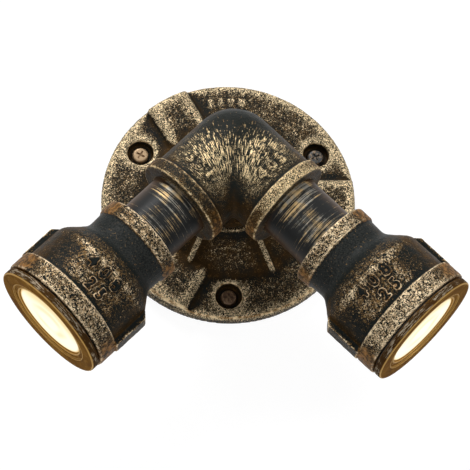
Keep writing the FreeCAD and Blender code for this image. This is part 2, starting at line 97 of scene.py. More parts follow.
@dataclass(frozen=True)
class Axis:
    """A local frame in millimetres whose Z runs along a turned part.

    Args:
        origin: place of the local origin in the row frame.
        turn: Euler angles in degrees that carry the row axes onto the local ones.
    """

    origin: Place
    turn: Place

    def euler(self) -> Euler:
        """The turn as Blender keeps it."""
        return Euler([math.radians(angle) for angle in self.turn])

    def matrix(self) -> Matrix:
        """Carries local metres into the row frame."""
        return Matrix.Translation(Vector(self.origin) * MM) @ self.euler().to_matrix().to_4x4()

    def local(self, points: np.ndarray) -> np.ndarray:
        """Row frame points in metres as local millimetres.

        Args:
            points: one row of three numbers for each point.

        Returns:
            The same rows in the local frame.
        """
        turn = np.array(self.euler().to_matrix())
        return (points / MM - np.array(self.origin)) @ turn


@dataclass(frozen=True)
class Sizes:
    """The fixture's driving sizes in millimetres, which the looks share with the frame."""

    off_wall: float = 65.0
    pipe_r: float = 16.7
    pipe_bore_r: float = 13.3
    nipple: float = 50.8
    elbow_reach: float = 38.1
    elbow_band: float = 7.1
    elbow_body_r: float = 22.55
    left_bell: float = 62.3
    back_off: float = 3.25
    bell: float = 59.6
    small_band: float = 8.1
    big_band: float = 10.3
    waist_at: float = 17.6
    seal: float = 0.9
    bezel: float = 3.95
    bezel_r: float = 31.2
    collar_r: float = 24.1
    collar_bore_r: float = 22.5
    collar: float = 13.3
    thread_pitch: float = 2.209
    thread_depth: float = 0.7
    lens_r: float = 20.4
    lens_flange_r: float = 22.4
    step_r: float = 23.8
    flange_r: float = 65.0
    rim: float = 6.0
    hub_top_r: float = 24.4
    hub_foot_r: float = 42.0
    screw_circle_r: float = 52.0


SIZES = Sizes()
WALL_AXIS = Axis((0.0, 0.0, 0.0), (90.0, 0.0, 0.0))
CROSSING = np.array([0.0, -SIZES.off_wall, 0.0])


def arm_axis(side: Side) -> Axis:
    """Frame of one arm: Z outwards along it, Y into the wall, lugs on X."""
    return Axis((0.0, -SIZES.off_wall, 0.0), (0.0, side.value * 135.0, 0.0))


def bell_start(side: Side) -> float:
    """Place of the bell's small end on its arm."""
    return SIZES.left_bell + (SIZES.back_off if side is Side.RIGHT else 0.0)


# ---- shader maths --------------------------------------------------------------------------------
class Value:
    """A number socket that takes part in Python expressions, each of which adds a Math node.

    Args:
        graph: the material's graph that the socket belongs to.
        socket: the output socket.
    """

    def __init__(self, graph: "Graph", socket: bpy.types.NodeSocket) -> None:
        """Keeps the graph and the socket."""
        self.graph = graph
        self.socket = socket

    def _math(self, operation: str, first: Any, second: Any) -> "Value":
        """One Math node on two numbers or sockets."""
        node = self.graph.node("ShaderNodeMath", {"operation": operation}, {0: first, 1: second})
        return Value(self.graph, node.outputs[0])

    def __add__(self, other: Any) -> "Value":
        """Sum."""
        return self._math("ADD", self, other)

    def __radd__(self, other: Any) -> "Value":
        """Sum with a number on the left."""
        return self._math("ADD", other, self)

    def __sub__(self, other: Any) -> "Value":
        """Difference."""
        return self._math("SUBTRACT", self, other)

    def __rsub__(self, other: Any) -> "Value":
        """Difference from a number."""
        return self._math("SUBTRACT", other, self)

    def __mul__(self, other: Any) -> "Value":
        """Product."""
        return self._math("MULTIPLY", self, other)

    def __rmul__(self, other: Any) -> "Value":
        """Product with a number on the left."""
        return self._math("MULTIPLY", other, self)

    def above(self, low: Any, high: Any) -> "Value":
        """Rises smoothly from 0 at low to 1 at high.

        Args:
            low: value at which the result leaves 0.
            high: value at which the result reaches 1.

        Returns:
            The smooth step.
        """
        inputs = {"Value": self, "From Min": low, "From Max": high}
        node = self.graph.node("ShaderNodeMapRange", {"interpolation_type": "SMOOTHSTEP"}, inputs)
        return Value(self.graph, node.outputs["Result"])

    def most(self, other: Any) -> "Value":
        """The larger of two numbers."""
        return self._math("MAXIMUM", self, other)

    def turn(self, other: Any) -> "Value":
        """The angle whose tangent is this number over another."""
        return self._math("ARCTAN2", self, other)

    def size(self) -> "Value":
        """The number without its sign."""
        return self._math("ABSOLUTE", self, 0.0)

    def clamp(self) -> "Value":
        """The value held between 0 and 1."""
        node = self.graph.node("ShaderNodeClamp", {}, {"Value": self})
        return Value(self.graph, node.outputs["Result"])


class Graph:
    """The nodes of a material or of the world, under construction.

    Args:
        owner: the material or the world.
    """

    def __init__(self, owner: bpy.types.Material | bpy.types.World) -> None:
        """Empties the owner's node tree.

        Args:
            owner: the material or world that the graph belongs to.
        """
        owner.use_nodes = True
        self.owner = owner
        self.tree = owner.node_tree
        self.tree.nodes.clear()

    def node(self, kind: str, settings: dict[str, Any], inputs: dict[Any, Any]) -> bpy.types.Node:
        """Adds a node, sets it and fills its sockets.

        Args:
            kind: the node's type.
            settings: the node's own properties, set first.
            inputs: values or links by socket name or number.

        Returns:
            The node.
        """
        node = self.tree.nodes.new(kind)
        for name, value in settings.items():
            setattr(node, name, value)
        for name, value in inputs.items():
            socket = value.socket if isinstance(value, Value) else value
            if isinstance(socket, bpy.types.NodeSocket):
                self.tree.links.new(socket, node.inputs[name])
            else:
                node.inputs[name].default_value = socket
        return node

    def coords(self, axis: Axis | None = None, stretch: Corner = (1.0, 1.0, 1.0)) -> bpy.types.NodeSocket:
        """Object coordinates, in an axis' frame and stretched.

        Args:
            axis: the local frame, or None for the row frame.
            stretch: factors along the three axes.

        Returns:
            The vector socket.
        """
        vector = self.node("ShaderNodeTexCoord", {}, {}).outputs["Object"]
        if axis is not None:
            place = {"Vector": vector, "Location": Vector(axis.origin) * MM, "Rotation": axis.euler()}
            vector = self.node("ShaderNodeMapping", {"vector_type": "TEXTURE"}, place).outputs[0]
        if tuple(stretch) != (1.0, 1.0, 1.0):
            pull = {0: vector, 1: Vector(stretch)}
            vector = self.node("ShaderNodeVectorMath", {"operation": "MULTIPLY"}, pull).outputs[0]
        return vector

    def noise(self, vector: bpy.types.NodeSocket, size: float, detail: float = 2.0, rough: float = 0.5,
              twist: float = 0.0) -> Value:
        """Noise whose lumps are about as large as size.

        Args:
            vector: coordinates in metres.
            size: lump size in millimetres.
            detail: octaves beyond the first.
            rough: weight of the finer octaves.
            twist: distortion.

        Returns:
            The noise, about 0.5 on average.
        """
        inputs = {"Vector": vector, "Scale": 1.0 / (size * MM), "Detail": detail, "Roughness": rough,
                  "Distortion": twist}
        return Value(self, self.node("ShaderNodeTexNoise", {}, inputs).outputs["Fac"])

    def attribute(self, name: str) -> Value:
        """A number stored on the mesh's vertices."""
        node = self.node("ShaderNodeAttribute", {"attribute_name": name}, {})
        return Value(self, node.outputs["Fac"])

    def part(self, vector: bpy.types.NodeSocket, which: str) -> Value:
        """One component, X, Y or Z, of a vector."""
        return Value(self, self.node("ShaderNodeSeparateXYZ", {}, {0: vector}).outputs[which])

    def seen(self) -> Value:
        """Tells rays that show the surroundings, to the camera, in reflections and through glass.

        Returns:
            1 for such rays and 0 for others.
        """
        path = self.node("ShaderNodeLightPath", {}, {})
        rays = [Value(self, path.outputs[f"Is {kind} Ray"]) for kind in ("Camera", "Glossy", "Transmission")]
        return (rays[0] + rays[1] + rays[2]).clamp()

    def length(self, vector: bpy.types.NodeSocket) -> Value:
        """Length of a vector."""
        node = self.node("ShaderNodeVectorMath", {"operation": "LENGTH"}, {0: vector})
        return Value(self, node.outputs["Value"])

    def blend(self, factor: Any, first: Any, second: Any) -> bpy.types.NodeSocket:
        """Mixes two colours.

        Args:
            factor: share of the second colour.
            first: colour or socket at factor 0.
            second: colour or socket at factor 1.

        Returns:
            The colour socket.
        """
        colours = [(*c, 1.0) if isinstance(c, tuple) else c for c in (first, second)]
        settings = {"data_type": "RGBA", "clamp_factor": True}
        return self.node("ShaderNodeMix", settings, {0: factor, 6: colours[0], 7: colours[1]}).outputs[2]

    def bump(self, height: Value, depth: float, strength: float = 1.0) -> bpy.types.NodeSocket:
        """Normal of a surface with the given relief.

        Args:
            height: relief from 0 to 1.
            depth: height in millimetres of a relief of 1.
            strength: how much of the relief shows.

        Returns:
            The normal socket.
        """
        inputs = {"Height": height, "Distance": depth * MM, "Strength": strength}
        return self.node("ShaderNodeBump", {}, inputs).outputs["Normal"]

    def surface(self, inputs: dict[str, Any]) -> bpy.types.Material:
        """Ends the graph in a Principled surface.

        Args:
            inputs: the shader's values and links by socket name.

        Returns:
            The finished material.
        """
        filled = {key: (*v, 1.0) if isinstance(v, tuple) and len(v) == 3 else v for key, v in inputs.items()}
        shader = self.node("ShaderNodeBsdfPrincipled", {}, filled)
        return self.output(shader.outputs["BSDF"])

    def output(self, socket: bpy.types.NodeSocket, kind: str = "Material") -> bpy.types.ID:
        """Ends the graph in any shader and gives back its owner."""
        self.node("ShaderNodeOutput" + kind, {}, {"Surface": socket})
        return self.owner


# ---- finishes ------------------------------------------------------------------------------------
class Finish:
    """A finish that paints a material of its own for each piece."""

    def material(self, name: str) -> bpy.types.Material:
        """A new material of this finish."""
        g = Graph(bpy.data.materials.new(name))
        return g.surface(self.paint(g))

    def paint(self, g: Graph) -> dict[str, Any]:
        """The surface shader's values and links."""
        raise NotImplementedError


@dataclass(frozen=True)
class CastIron(Finish):
    """Cast iron, blackened, glazed brown in its hollows and dry brushed with pale gold on its grain.

    Reads the vertex attributes gold, glaze, edge, streak and satin, the last a lighter neck colour that
    paints in their sheen. One that a mesh lacks is 0.

    Args:
        grain: size of the cast grain in millimetres.
        maze: how much the brushing forms a maze of fine lines, from 0 to 1.
        fan: row frame point in millimetres that the brush strokes spread from.
        patchy: how much the brushing varies from place to place.
        black: the bare casting.
        brown: the glaze.
        rust: specks in thick glaze.
        dull_gold: thin brushing.
        pale_gold: thick brushing.
        edge_gold: rubbed edges where there is little brushing.
        satin: painted sheen on the smooth necks, a lighter grey that stands in for their soft highlight.
        stroke: width of a brush stroke in millimetres.
        fan_width: how wide the strokes' fan is, in millimetres for each radian.
        stroke_pull: how far the strokes are drawn out, as a share of the way along them.
        unbrushed: grain height from 0 to 1 that even the lightest brushing reaches.
        brushed: how far full brushing goes down from there.
        line: width of the maze's lines at full brushing, in steps of its noise.
        relief: depth of the grain in millimetres.
    """

    grain: float = 0.6
    maze: float = 0.8
    fan: Place = (0.0, 0.0, 0.0)
    patchy: float = 0.45
    black: Colour = (0.0100, 0.0128, 0.0118)
    brown: Colour = (0.042, 0.023, 0.0070)
    rust: Colour = (0.135, 0.066, 0.018)
    dull_gold: Colour = (0.235, 0.135, 0.048)
    pale_gold: Colour = (1.0, 0.81, 0.53)
    edge_gold: Colour = (0.32, 0.150, 0.038)
    satin: Colour = (0.034, 0.036, 0.034)
    stroke: float = 0.42
    fan_width: float = 26.0
    stroke_pull: float = 0.095
    unbrushed: float = 0.698
    brushed: float = 0.175
    line: float = 0.048
    relief: float = 0.20

    def strokes(self, g: Graph) -> bpy.types.NodeSocket:
        """Coordinates in which brush strokes fan out from one point.

        Args:
            g: the material's graph.

        Returns:
            The vector socket: distance round the point, then a share of the distance from it.
        """
        row = g.coords(Axis(self.fan, (0.0, 0.0, 0.0)))
        across = g.part(row, "X")
        up = g.part(row, "Z")
        angle = across.turn(up) * (self.fan_width * MM)
        away = g.length(g.node("ShaderNodeCombineXYZ", {}, {0: across, 1: 0.0, 2: up}).outputs[0])
        return g.node("ShaderNodeCombineXYZ", {}, {0: angle, 1: away * self.stroke_pull, 2: 0.0}).outputs[0]

    def paint(self, g: Graph) -> dict[str, Any]:
        """Paints the surface.

        Args:
            g: the material's graph.

        Returns:
            The surface shader's values and links.
        """
        row = g.coords()
        grain = g.noise(row, self.grain, 1.5, 0.5, 0.6)
        maze = (g.noise(row, self.grain * 3.0, 1.4, 0.55, 1.5) - 0.5).size()
        stroke = g.noise(self.strokes(g), self.stroke, 2.0, 0.6, 0.3) * 0.8 + grain * 0.2
        patch = g.noise(row, 7.0, 3.0, 0.6)
        tone = g.noise(row, 2.1, 2.0, 0.6)
        streak = g.attribute("streak")
        pattern = grain * (1.0 - streak) + stroke * streak
        # brushed gold: the pattern's peaks, and the lines of the maze where there is enough of it
        amount = g.attribute("gold") + (patch - 0.5) * self.patchy
        level = self.unbrushed - amount * self.brushed
        peaks = pattern.above(level - 0.02, level + 0.04)
        reach = amount * self.line
        lines = (1.0 - maze.above(reach - 0.012, reach + 0.014)) * (1.0 - streak) * self.maze
        gold = peaks.most(lines * amount.above(0.05, 0.5))
        bright = pattern.above(level, level + 0.14) * 0.5
        bright = bright + tone.above(0.42, 0.64) * 0.45 + (amount - 0.60) * 1.3
        metal = g.blend(bright, self.dull_gold, self.pale_gold)
        # what lies under it, and the rubbed edges on top
        browning = (g.attribute("glaze") + (patch - 0.5) * 1.5).above(0.22, 1.05)
        base = g.blend(browning, self.black, self.brown)
        rusty = browning.above(0.45, 1.0) * tone.above(0.50, 0.66) * grain.above(0.46, 0.58)
        base = g.blend(rusty * 0.75, base, self.rust)
        # painted sheen: the necks are lightened to stand in for their soft highlight
        base = g.blend(g.attribute("satin") * (pattern.above(0.35, 0.62) + 0.15), base, self.satin)
        rubbed = (g.attribute("edge") + (tone - 0.5) * 1.3).above(0.35, 0.80)
        edge = g.blend(amount.above(0.35, 0.95) * tone.above(0.40, 0.60), self.edge_gold, self.pale_gold)
        height = grain * 0.55 + (0.25 - maze) * 1.2 * self.maze + g.noise(row, 0.5, 1.0) * 0.2
        return {
            "Base Color": g.blend(rubbed, g.blend(gold, base, metal), edge),
            "Metallic": gold.most(rubbed) * 0.35,
            "Roughness": 0.40 + gold * 0.10 + browning * 0.10,
            "Specular IOR Level": 0.045,
            "Normal": g.bump(height, self.relief),
        }


@dataclass(frozen=True)
class ScratchedPipe(Finish):
    """Blackened pipe with fine scratches round it, silver and gold where it was rubbed.

    Reads the vertex attributes gold and glaze.

    Args:
        axis: the pipe's frame.
        black: the pipe's skin.
        brown: its glazed sides.
        gold: warm scratches.
        silver: cold scratches.
        stretch: width of a scratch as a share of its length.
        unscratched: line height from 0 to 1 that even the lightest rubbing reaches.
        scratched: how far full rubbing goes down from there.
    """

    axis: Axis
    black: Colour = (0.018, 0.0190, 0.0190)
    brown: Colour = (0.058, 0.027, 0.009)
    gold: Colour = (0.60, 0.42, 0.20)
    silver: Colour = (0.33, 0.31, 0.26)
    stretch: float = 0.016
    unscratched: float = 0.665
    scratched: float = 0.21

    def paint(self, g: Graph) -> dict[str, Any]:
        """Paints the surface.

        Args:
            g: the material's graph.

        Returns:
            The surface shader's values and links.
        """
        local = g.coords(self.axis)
        lines = g.noise(g.coords(self.axis, (self.stretch, self.stretch, 1.0)), 0.5, 3.0, 0.7)
        patch = g.noise(local, 7.0, 2.0, 0.6)
        breaks = g.noise(local, 2.2, 2.0, 0.6)
        amount = g.attribute("gold") + (patch - 0.5) * 0.5
        level = self.unscratched - amount * self.scratched
        scratch = (lines * 0.85 + breaks * 0.15).above(level - 0.04, level + 0.10)
        tint = g.blend(patch.above(0.42, 0.58), self.silver, self.gold)
        browning = (g.attribute("glaze") + (patch - 0.5) * 0.6).above(0.25, 0.9)
        base = g.blend(browning, self.black, self.brown)
        return {
            "Base Color": g.blend(scratch, base, tint),
            "Metallic": scratch * 0.5,
            "Roughness": 0.40 + scratch * 0.08,
            "Specular IOR Level": 0.12,
            "Normal": g.bump(lines, 0.05),
        }


@dataclass(frozen=True)
class TurnedBrass(Finish):
    """Aged brass, half matt, with turning marks, a dark outside with silver streaks that are partly painted
    highlights, and polished fine edges.

    Reads the vertex attributes side (the outside) and edge (fine edges, and a painted glow from the lens on
    the stepped front round it).

    Args:
        axis: the ring's frame.
        dark: how dark its outside is, from 0 to 1.
        brass: the lighter clouds.
        deep: the darker clouds.
        black: the outside.
        polish: edges and single turning marks, and the painted glow from the lens.
        silver: rubbed marks on the outside, partly a painted highlight.
    """

    axis: Axis
    dark: float = 0.8
    brass: Colour = (0.275, 0.128, 0.014)
    deep: Colour = (0.155, 0.062, 0.007)
    black: Colour = (0.016, 0.013, 0.011)
    polish: Colour = (0.52, 0.31, 0.09)
    silver: Colour = (0.58, 0.49, 0.36)

    def paint(self, g: Graph) -> dict[str, Any]:
        """Paints the surface.

        Args:
            g: the material's graph.

        Returns:
            The surface shader's values and links.
        """
        local = g.coords(self.axis)
        marks = g.noise(g.coords(self.axis, (0.12, 0.12, 1.0)), 0.5, 3.0, 0.65)
        cloud = g.noise(local, 11.0, 3.0, 0.6)
        speck = g.noise(local, 1.3, 2.0, 0.6)
        body = g.blend((cloud * 0.7 + marks * 0.3).above(0.34, 0.66), self.deep, self.brass)
        side = g.attribute("side") * self.dark
        body = g.blend((side + (cloud - 0.6) * 0.4).clamp(), body, self.black)
        body = g.blend(marks.above(0.58, 0.70) * 0.35, body, self.polish)
        # silver streaks on the outside: rubbed marks, partly painted highlights
        body = g.blend(side * marks.above(0.49, 0.62) * cloud.above(0.42, 0.54) * 0.85, body, self.silver)
        edge = (g.attribute("edge") + (speck - 0.5) * 0.5).above(0.45, 0.8)
        return {
            "Base Color": g.blend(edge, body, self.polish),
            "Metallic": 0.10 + edge * 0.3,
            "Roughness": 0.42 + (speck - 0.5) * 0.2,
            "Specular IOR Level": 0.0,
            "Normal": g.bump(marks * 0.6 + speck * 0.4, 0.05),
        }


@dataclass(frozen=True)
class LitLens(Finish):
    """Opal lens lit from behind, warm white with a pale yellow ring from the reflector.

    Args:
        axis: the lens' frame.
        white: the middle.
        yellow: the reflector's ring, and the side towards the room.
        edge: the rim.
    """

    axis: Axis
    white: Colour = (0.98, 0.91, 0.67)
    yellow: Colour = (0.82, 0.63, 0.27)
    edge: Colour = (0.60, 0.37, 0.08)

    def paint(self, g: Graph) -> dict[str, Any]:
        """Paints the surface.

        Args:
            g: the material's graph.

        Returns:
            The surface shader's values and links.
        """
        flat = g.coords(self.axis, (1.0, 1.0, 0.0))
        radius = g.length(flat) * (1.0 / MM)
        wobble = (g.noise(flat, 14.0, 1.0) - 0.5) * 5.0
        place = radius + wobble
        ring = place.above(5.0, 8.5) * (1.0 - place.above(9.5, 13.5))
        soft = g.noise(flat, 12.0, 0.0).above(0.36, 0.64)
        near = (0.0 - g.part(flat, "Y")).above(0.0, 14.0 * MM) * place.above(8.0, 17.0)
        glow = g.blend((ring * (soft * 0.6 + 0.25) * 0.8).most(near), self.white, self.yellow)
        glow = g.blend(radius.above(SIZES.lens_r - 1.8, SIZES.lens_r), glow, self.edge)
        return {
            "Base Color": (0.02, 0.018, 0.012),
            "Roughness": 0.25,
            "Specular IOR Level": 0.2,
            "Emission Color": glow,
            "Emission Strength": 1.0,
            "Normal": g.bump(g.noise(flat, 2.0, 1.0), 0.03),
        }


@dataclass(frozen=True)
class Plain(Finish):
    """A quiet finish for small and hidden pieces: a colour with slight clouds and fine relief.

    Args:
        colour: main colour.
        second: colour of the clouds.
        rough: roughness.
        metal: metallic share.
        size: size of the clouds in millimetres.
        relief: depth in millimetres of the fine relief.
    """

    colour: Colour
    second: Colour
    rough: float = 0.5
    metal: float = 0.0
    size: float = 3.0
    relief: float = 0.03

    def paint(self, g: Graph) -> dict[str, Any]:
        """Paints the surface.

        Args:
            g: the material's graph.

        Returns:
            The surface shader's values and links.
        """
        row = g.coords()
        cloud = g.noise(row, self.size, 3.0, 0.6)
        fine = g.noise(row, 0.4, 2.0, 0.6)
        return {
            "Base Color": g.blend(cloud.above(0.35, 0.65), self.colour, self.second),
            "Metallic": self.metal,
            "Roughness": self.rough + (fine - 0.5) * 0.15,
            "Normal": g.bump(fine, self.relief),
        }


# ---- modelling -----------------------------------------------------------------------------------
def select_only(piece: bpy.types.Object) -> None:
    """Makes one object the only selected and the active one.

    Args:
        piece: the object.
    """
    bpy.ops.object.select_all(action="DESELECT")
    piece.select_set(True)
    bpy.context.view_layer.objects.active = piece


def rounded(corners: Sequence[Corner], steps: int = 5) -> list[tuple[float, float]]:
    """Points of an outline whose corners may be round.

    Args:
        corners: (r, z) or (r, z, round) corners of a closed outline.
        steps: straight pieces in each round.

    Returns:
        The outline's points.
    """
    points = []
    for i, corner in enumerate(corners):
        here = Vector(corner[:2])
        radius = corner[2] if len(corner) > 2 else 0.0
        back = (Vector(corners[i - 1][:2]) - here).normalized()
        ahead = (Vector(corners[(i + 1) % len(corners)][:2]) - here).normalized()
        if radius == 0.0:
            points.append(tuple(here))
            continue
        half = back.angle(ahead) / 2.0
        centre = here + (back + ahead).normalized() * (radius / math.sin(half))
        first = here + back * (radius / math.tan(half)) - centre
        last = here + ahead * (radius / math.tan(half)) - centre
        for step in range(steps + 1):
            share = step / steps
            spoke = (first * (1.0 - share) + last * share).normalized() * radius
            points.append(tuple(centre + spoke))
    return points


def turned(name: str, outline: Sequence[tuple[float, float]], axis: Axis,
           steps: int = 128) -> bpy.types.Object:
    """Turned piece: a point is extruded along the outline and spun round the axis.

    Args:
        name: the piece's name.
        outline: (r, z) points of the closed section in millimetres.
        axis: the piece's frame.
        steps: flats round the piece.

    Returns:
        The piece, with its place in its mesh.
    """
    bpy.ops.object.select_all(action="DESELECT")
    bpy.ops.mesh.primitive_plane_add(size=MM, location=(0.0, 0.0, 0.0))
    piece = bpy.context.object
    piece.name = name
    piece.data.name = name
    bpy.ops.object.mode_set(mode="EDIT")
    bpy.ops.mesh.select_all(action="SELECT")
    bpy.ops.mesh.merge(type="CENTER")
    places = [Vector((r, 0.0, z)) * MM for r, z in outline]
    bpy.ops.transform.translate(value=places[0])
    for before, after in zip(places, places[1:] + places[:1]):
        bpy.ops.mesh.extrude_vertices_move(TRANSFORM_OT_translate={"value": after - before})
    bpy.ops.mesh.select_all(action="SELECT")
    bpy.ops.mesh.spin(steps=steps, angle=2.0 * math.pi, center=(0.0, 0.0, 0.0), axis=(0.0, 0.0, 1.0))
    bpy.ops.mesh.select_all(action="SELECT")
    bpy.ops.mesh.remove_doubles(threshold=0.004 * MM)
    bpy.ops.mesh.normals_make_consistent(inside=False)
    bpy.ops.object.mode_set(mode="OBJECT")
    piece.matrix_world = axis.matrix()
    select_only(piece)
    bpy.ops.object.transform_apply(location=True, rotation=True, scale=True)
    bpy.ops.object.shade_smooth_by_angle(angle=math.radians(35.0))
    return piece


def cast_copy(node: str, name: str) -> bpy.types.Object:
    """Free copy of a CAD node with its loose triangles merged.

    Args:
        node: the CAD node.
        name: the copy's name.

    Returns:
        The copy.
    """
    original = frame["nodes"][node]
    piece = original.copy()
    piece.data = original.data.copy()
    piece.name = name
    piece.data.name = name
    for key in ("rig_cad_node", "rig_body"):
        del piece[key]
    piece.parent = None
    bpy.context.scene.collection.objects.link(piece)
    select_only(piece)
    bpy.ops.object.mode_set(mode="EDIT")
    bpy.ops.mesh.select_all(action="SELECT")
    bpy.ops.mesh.remove_doubles(threshold=0.001 * MM)
    bpy.ops.object.mode_set(mode="OBJECT")
    return piece


def apply(piece: bpy.types.Object, kind: str, settings: dict[str, Any]) -> None:
    """Adds a modifier, sets it and applies it.

    Args:
        piece: the object.
        kind: the modifier's type.
        settings: its properties.
    """
    modifier = piece.modifiers.new(kind.lower(), kind)
    for name, value in settings.items():
        setattr(modifier, name, value)
    select_only(piece)
    bpy.ops.object.modifier_apply(modifier=modifier.name)


def weigh(piece: bpy.types.Object, name: str, weights: np.ndarray) -> None:
    """Stores weights from 0 to 1 in a vertex group, in steps of a twentieth.

    Args:
        piece: the object.
        name: the group's name.
        weights: one number for each vertex.
    """
    group = piece.vertex_groups.new(name=name)
    levels = np.rint(np.clip(weights, 0.0, 1.0) * 20.0).astype(int)
    for level in range(1, 21):
        group.add(np.flatnonzero(levels == level).tolist(), level / 20.0, "REPLACE")


def clouds(piece: bpy.types.Object, size: float, depth: float, group: str) -> None:
    """Presses cloud shaped dents into a surface, nowhere above where it was.

    Args:
        piece: the object.
        size: size of the dents in millimetres.
        depth: deepest dent in millimetres.
        group: vertex group that says where.
    """
    texture = bpy.data.textures.new(piece.name + "_dents", "CLOUDS")
    texture.noise_scale = size * MM
    texture.noise_depth = 2
    settings = {"texture": texture, "texture_coords": "LOCAL", "strength": depth * MM, "mid_level": 0.8,
                "vertex_group": group}
    apply(piece, "DISPLACE", settings)


def thin(piece: bpy.types.Object, group: str) -> None:
    """Takes triangles out of a piece where a group says, until it has no more than MOST_TRIANGLES.

    Args:
        piece: the object.
        group: vertex group of the places that don't show.
    """
    piece.data.calc_loop_triangles()
    count = len(piece.data.loop_triangles)
    if count > MOST_TRIANGLES:
        settings = {"ratio": MOST_TRIANGLES / count, "vertex_group": group, "vertex_group_factor": 10.0}
        apply(piece, "DECIMATE", settings)


def points_of(piece: bpy.types.Object) -> np.ndarray:
    """The vertices of a piece.

    Args:
        piece: the object.

    Returns:
        One row of three numbers for each vertex, in metres.
    """
    points = np.empty(len(piece.data.vertices) * 3, np.float32)
    piece.data.vertices.foreach_get("co", points)
    return points.reshape(-1, 3).astype(float)


def relief_of(piece: bpy.types.Object, rounds: int) -> np.ndarray:
    """How far each vertex stands above its smoothed surroundings, in millimetres.

    Args:
        piece: the object.
        rounds: smoothing rounds, which set how wide the surroundings are.

    Returns:
        One number for each vertex, above zero on ridges and below it in hollows.
    """
    mesh = piece.data
    edges = np.empty(len(mesh.edges) * 2, np.int32)
    mesh.edges.foreach_get("vertices", edges)
    first, second = edges[0::2], edges[1::2]
    count = len(mesh.vertices)
    links = np.maximum(np.bincount(first, minlength=count) + np.bincount(second, minlength=count), 1)
    start = points_of(piece)
    smooth = start.copy()
    for _ in range(rounds):
        total = np.stack([
            np.bincount(first, smooth[second, k], count) + np.bincount(second, smooth[first, k], count)
            for k in range(3)
        ], axis=1)
        smooth = 0.5 * smooth + 0.5 * total / links[:, None]
    normals = np.empty(count * 3, np.float32)
    mesh.vertices.foreach_get("normal", normals)
    return np.sum((start - smooth) * normals.reshape(-1, 3), axis=1) / MM


def store(piece: bpy.types.Object, **layers: np.ndarray) -> None:
    """Writes vertex attributes that materials read.

    Args:
        piece: the object.
        layers: by the attribute's name, one number for each vertex.
    """
    for name, values in layers.items():
        attribute = piece.data.attributes.new(name, "FLOAT", "POINT")
        attribute.data.foreach_set("value", np.clip(values, 0.0, 1.0).astype(np.float32))


def radius_of(local: np.ndarray) -> np.ndarray:
    """Distance of local points from their frame's Z axis."""
    return np.hypot(local[:, 0], local[:, 1])


def azimuth_of(local: np.ndarray, middle: float = 0.0) -> np.ndarray:
    """Degrees of local points round their frame's Z axis, from the middle of what faces the room.

    Args:
        local: points in an arm's frame.
        middle: degrees that the middle is turned by.

    Returns:
        One angle for each point, from -180 to 180.
    """
    azimuth = np.degrees(np.arctan2(local[:, 0], -local[:, 1])) - middle
    return (azimuth + 180.0) % 360.0 - 180.0


def rise(values: np.ndarray, low: float, high: float) -> np.ndarray:
    """Smooth step from 0 at low to 1 at high, either way round.

    Args:
        values: numbers to grade.
        low: value that gives 0.
        high: value that gives 1.

    Returns:
        The graded numbers.
    """
    share = np.clip((values - low) / (high - low), 0.0, 1.0)
    return share * share * (3.0 - 2.0 * share)


def within(values: np.ndarray, low: float, high: float, soft: float) -> np.ndarray:
    """1 between low and high, fading to 0 over a soft edge outside them."""
    return rise(values, low - soft, low) * rise(values, high + soft, high)


def dress(piece: bpy.types.Object, material: bpy.types.Material) -> None:
    """Gives a piece one material all over."""
    piece.data.materials.clear()
    piece.data.materials.append(material)


def settle(piece: bpy.types.Object, body: str, slot: str, *nodes: str) -> None:
    """Puts a finished piece on its body in place of CAD nodes.

    Args:
        piece: the piece.
        body: the CAD body that it rides on.
        slot: the record's material slot; not used.
        nodes: the CAD nodes that it stands for.
    """
    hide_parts(*nodes)
    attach(piece, body)
    piece.data.calc_loop_triangles()
    log.info("%s: %d triangles on %s", piece.name, len(piece.data.loop_triangles), body)


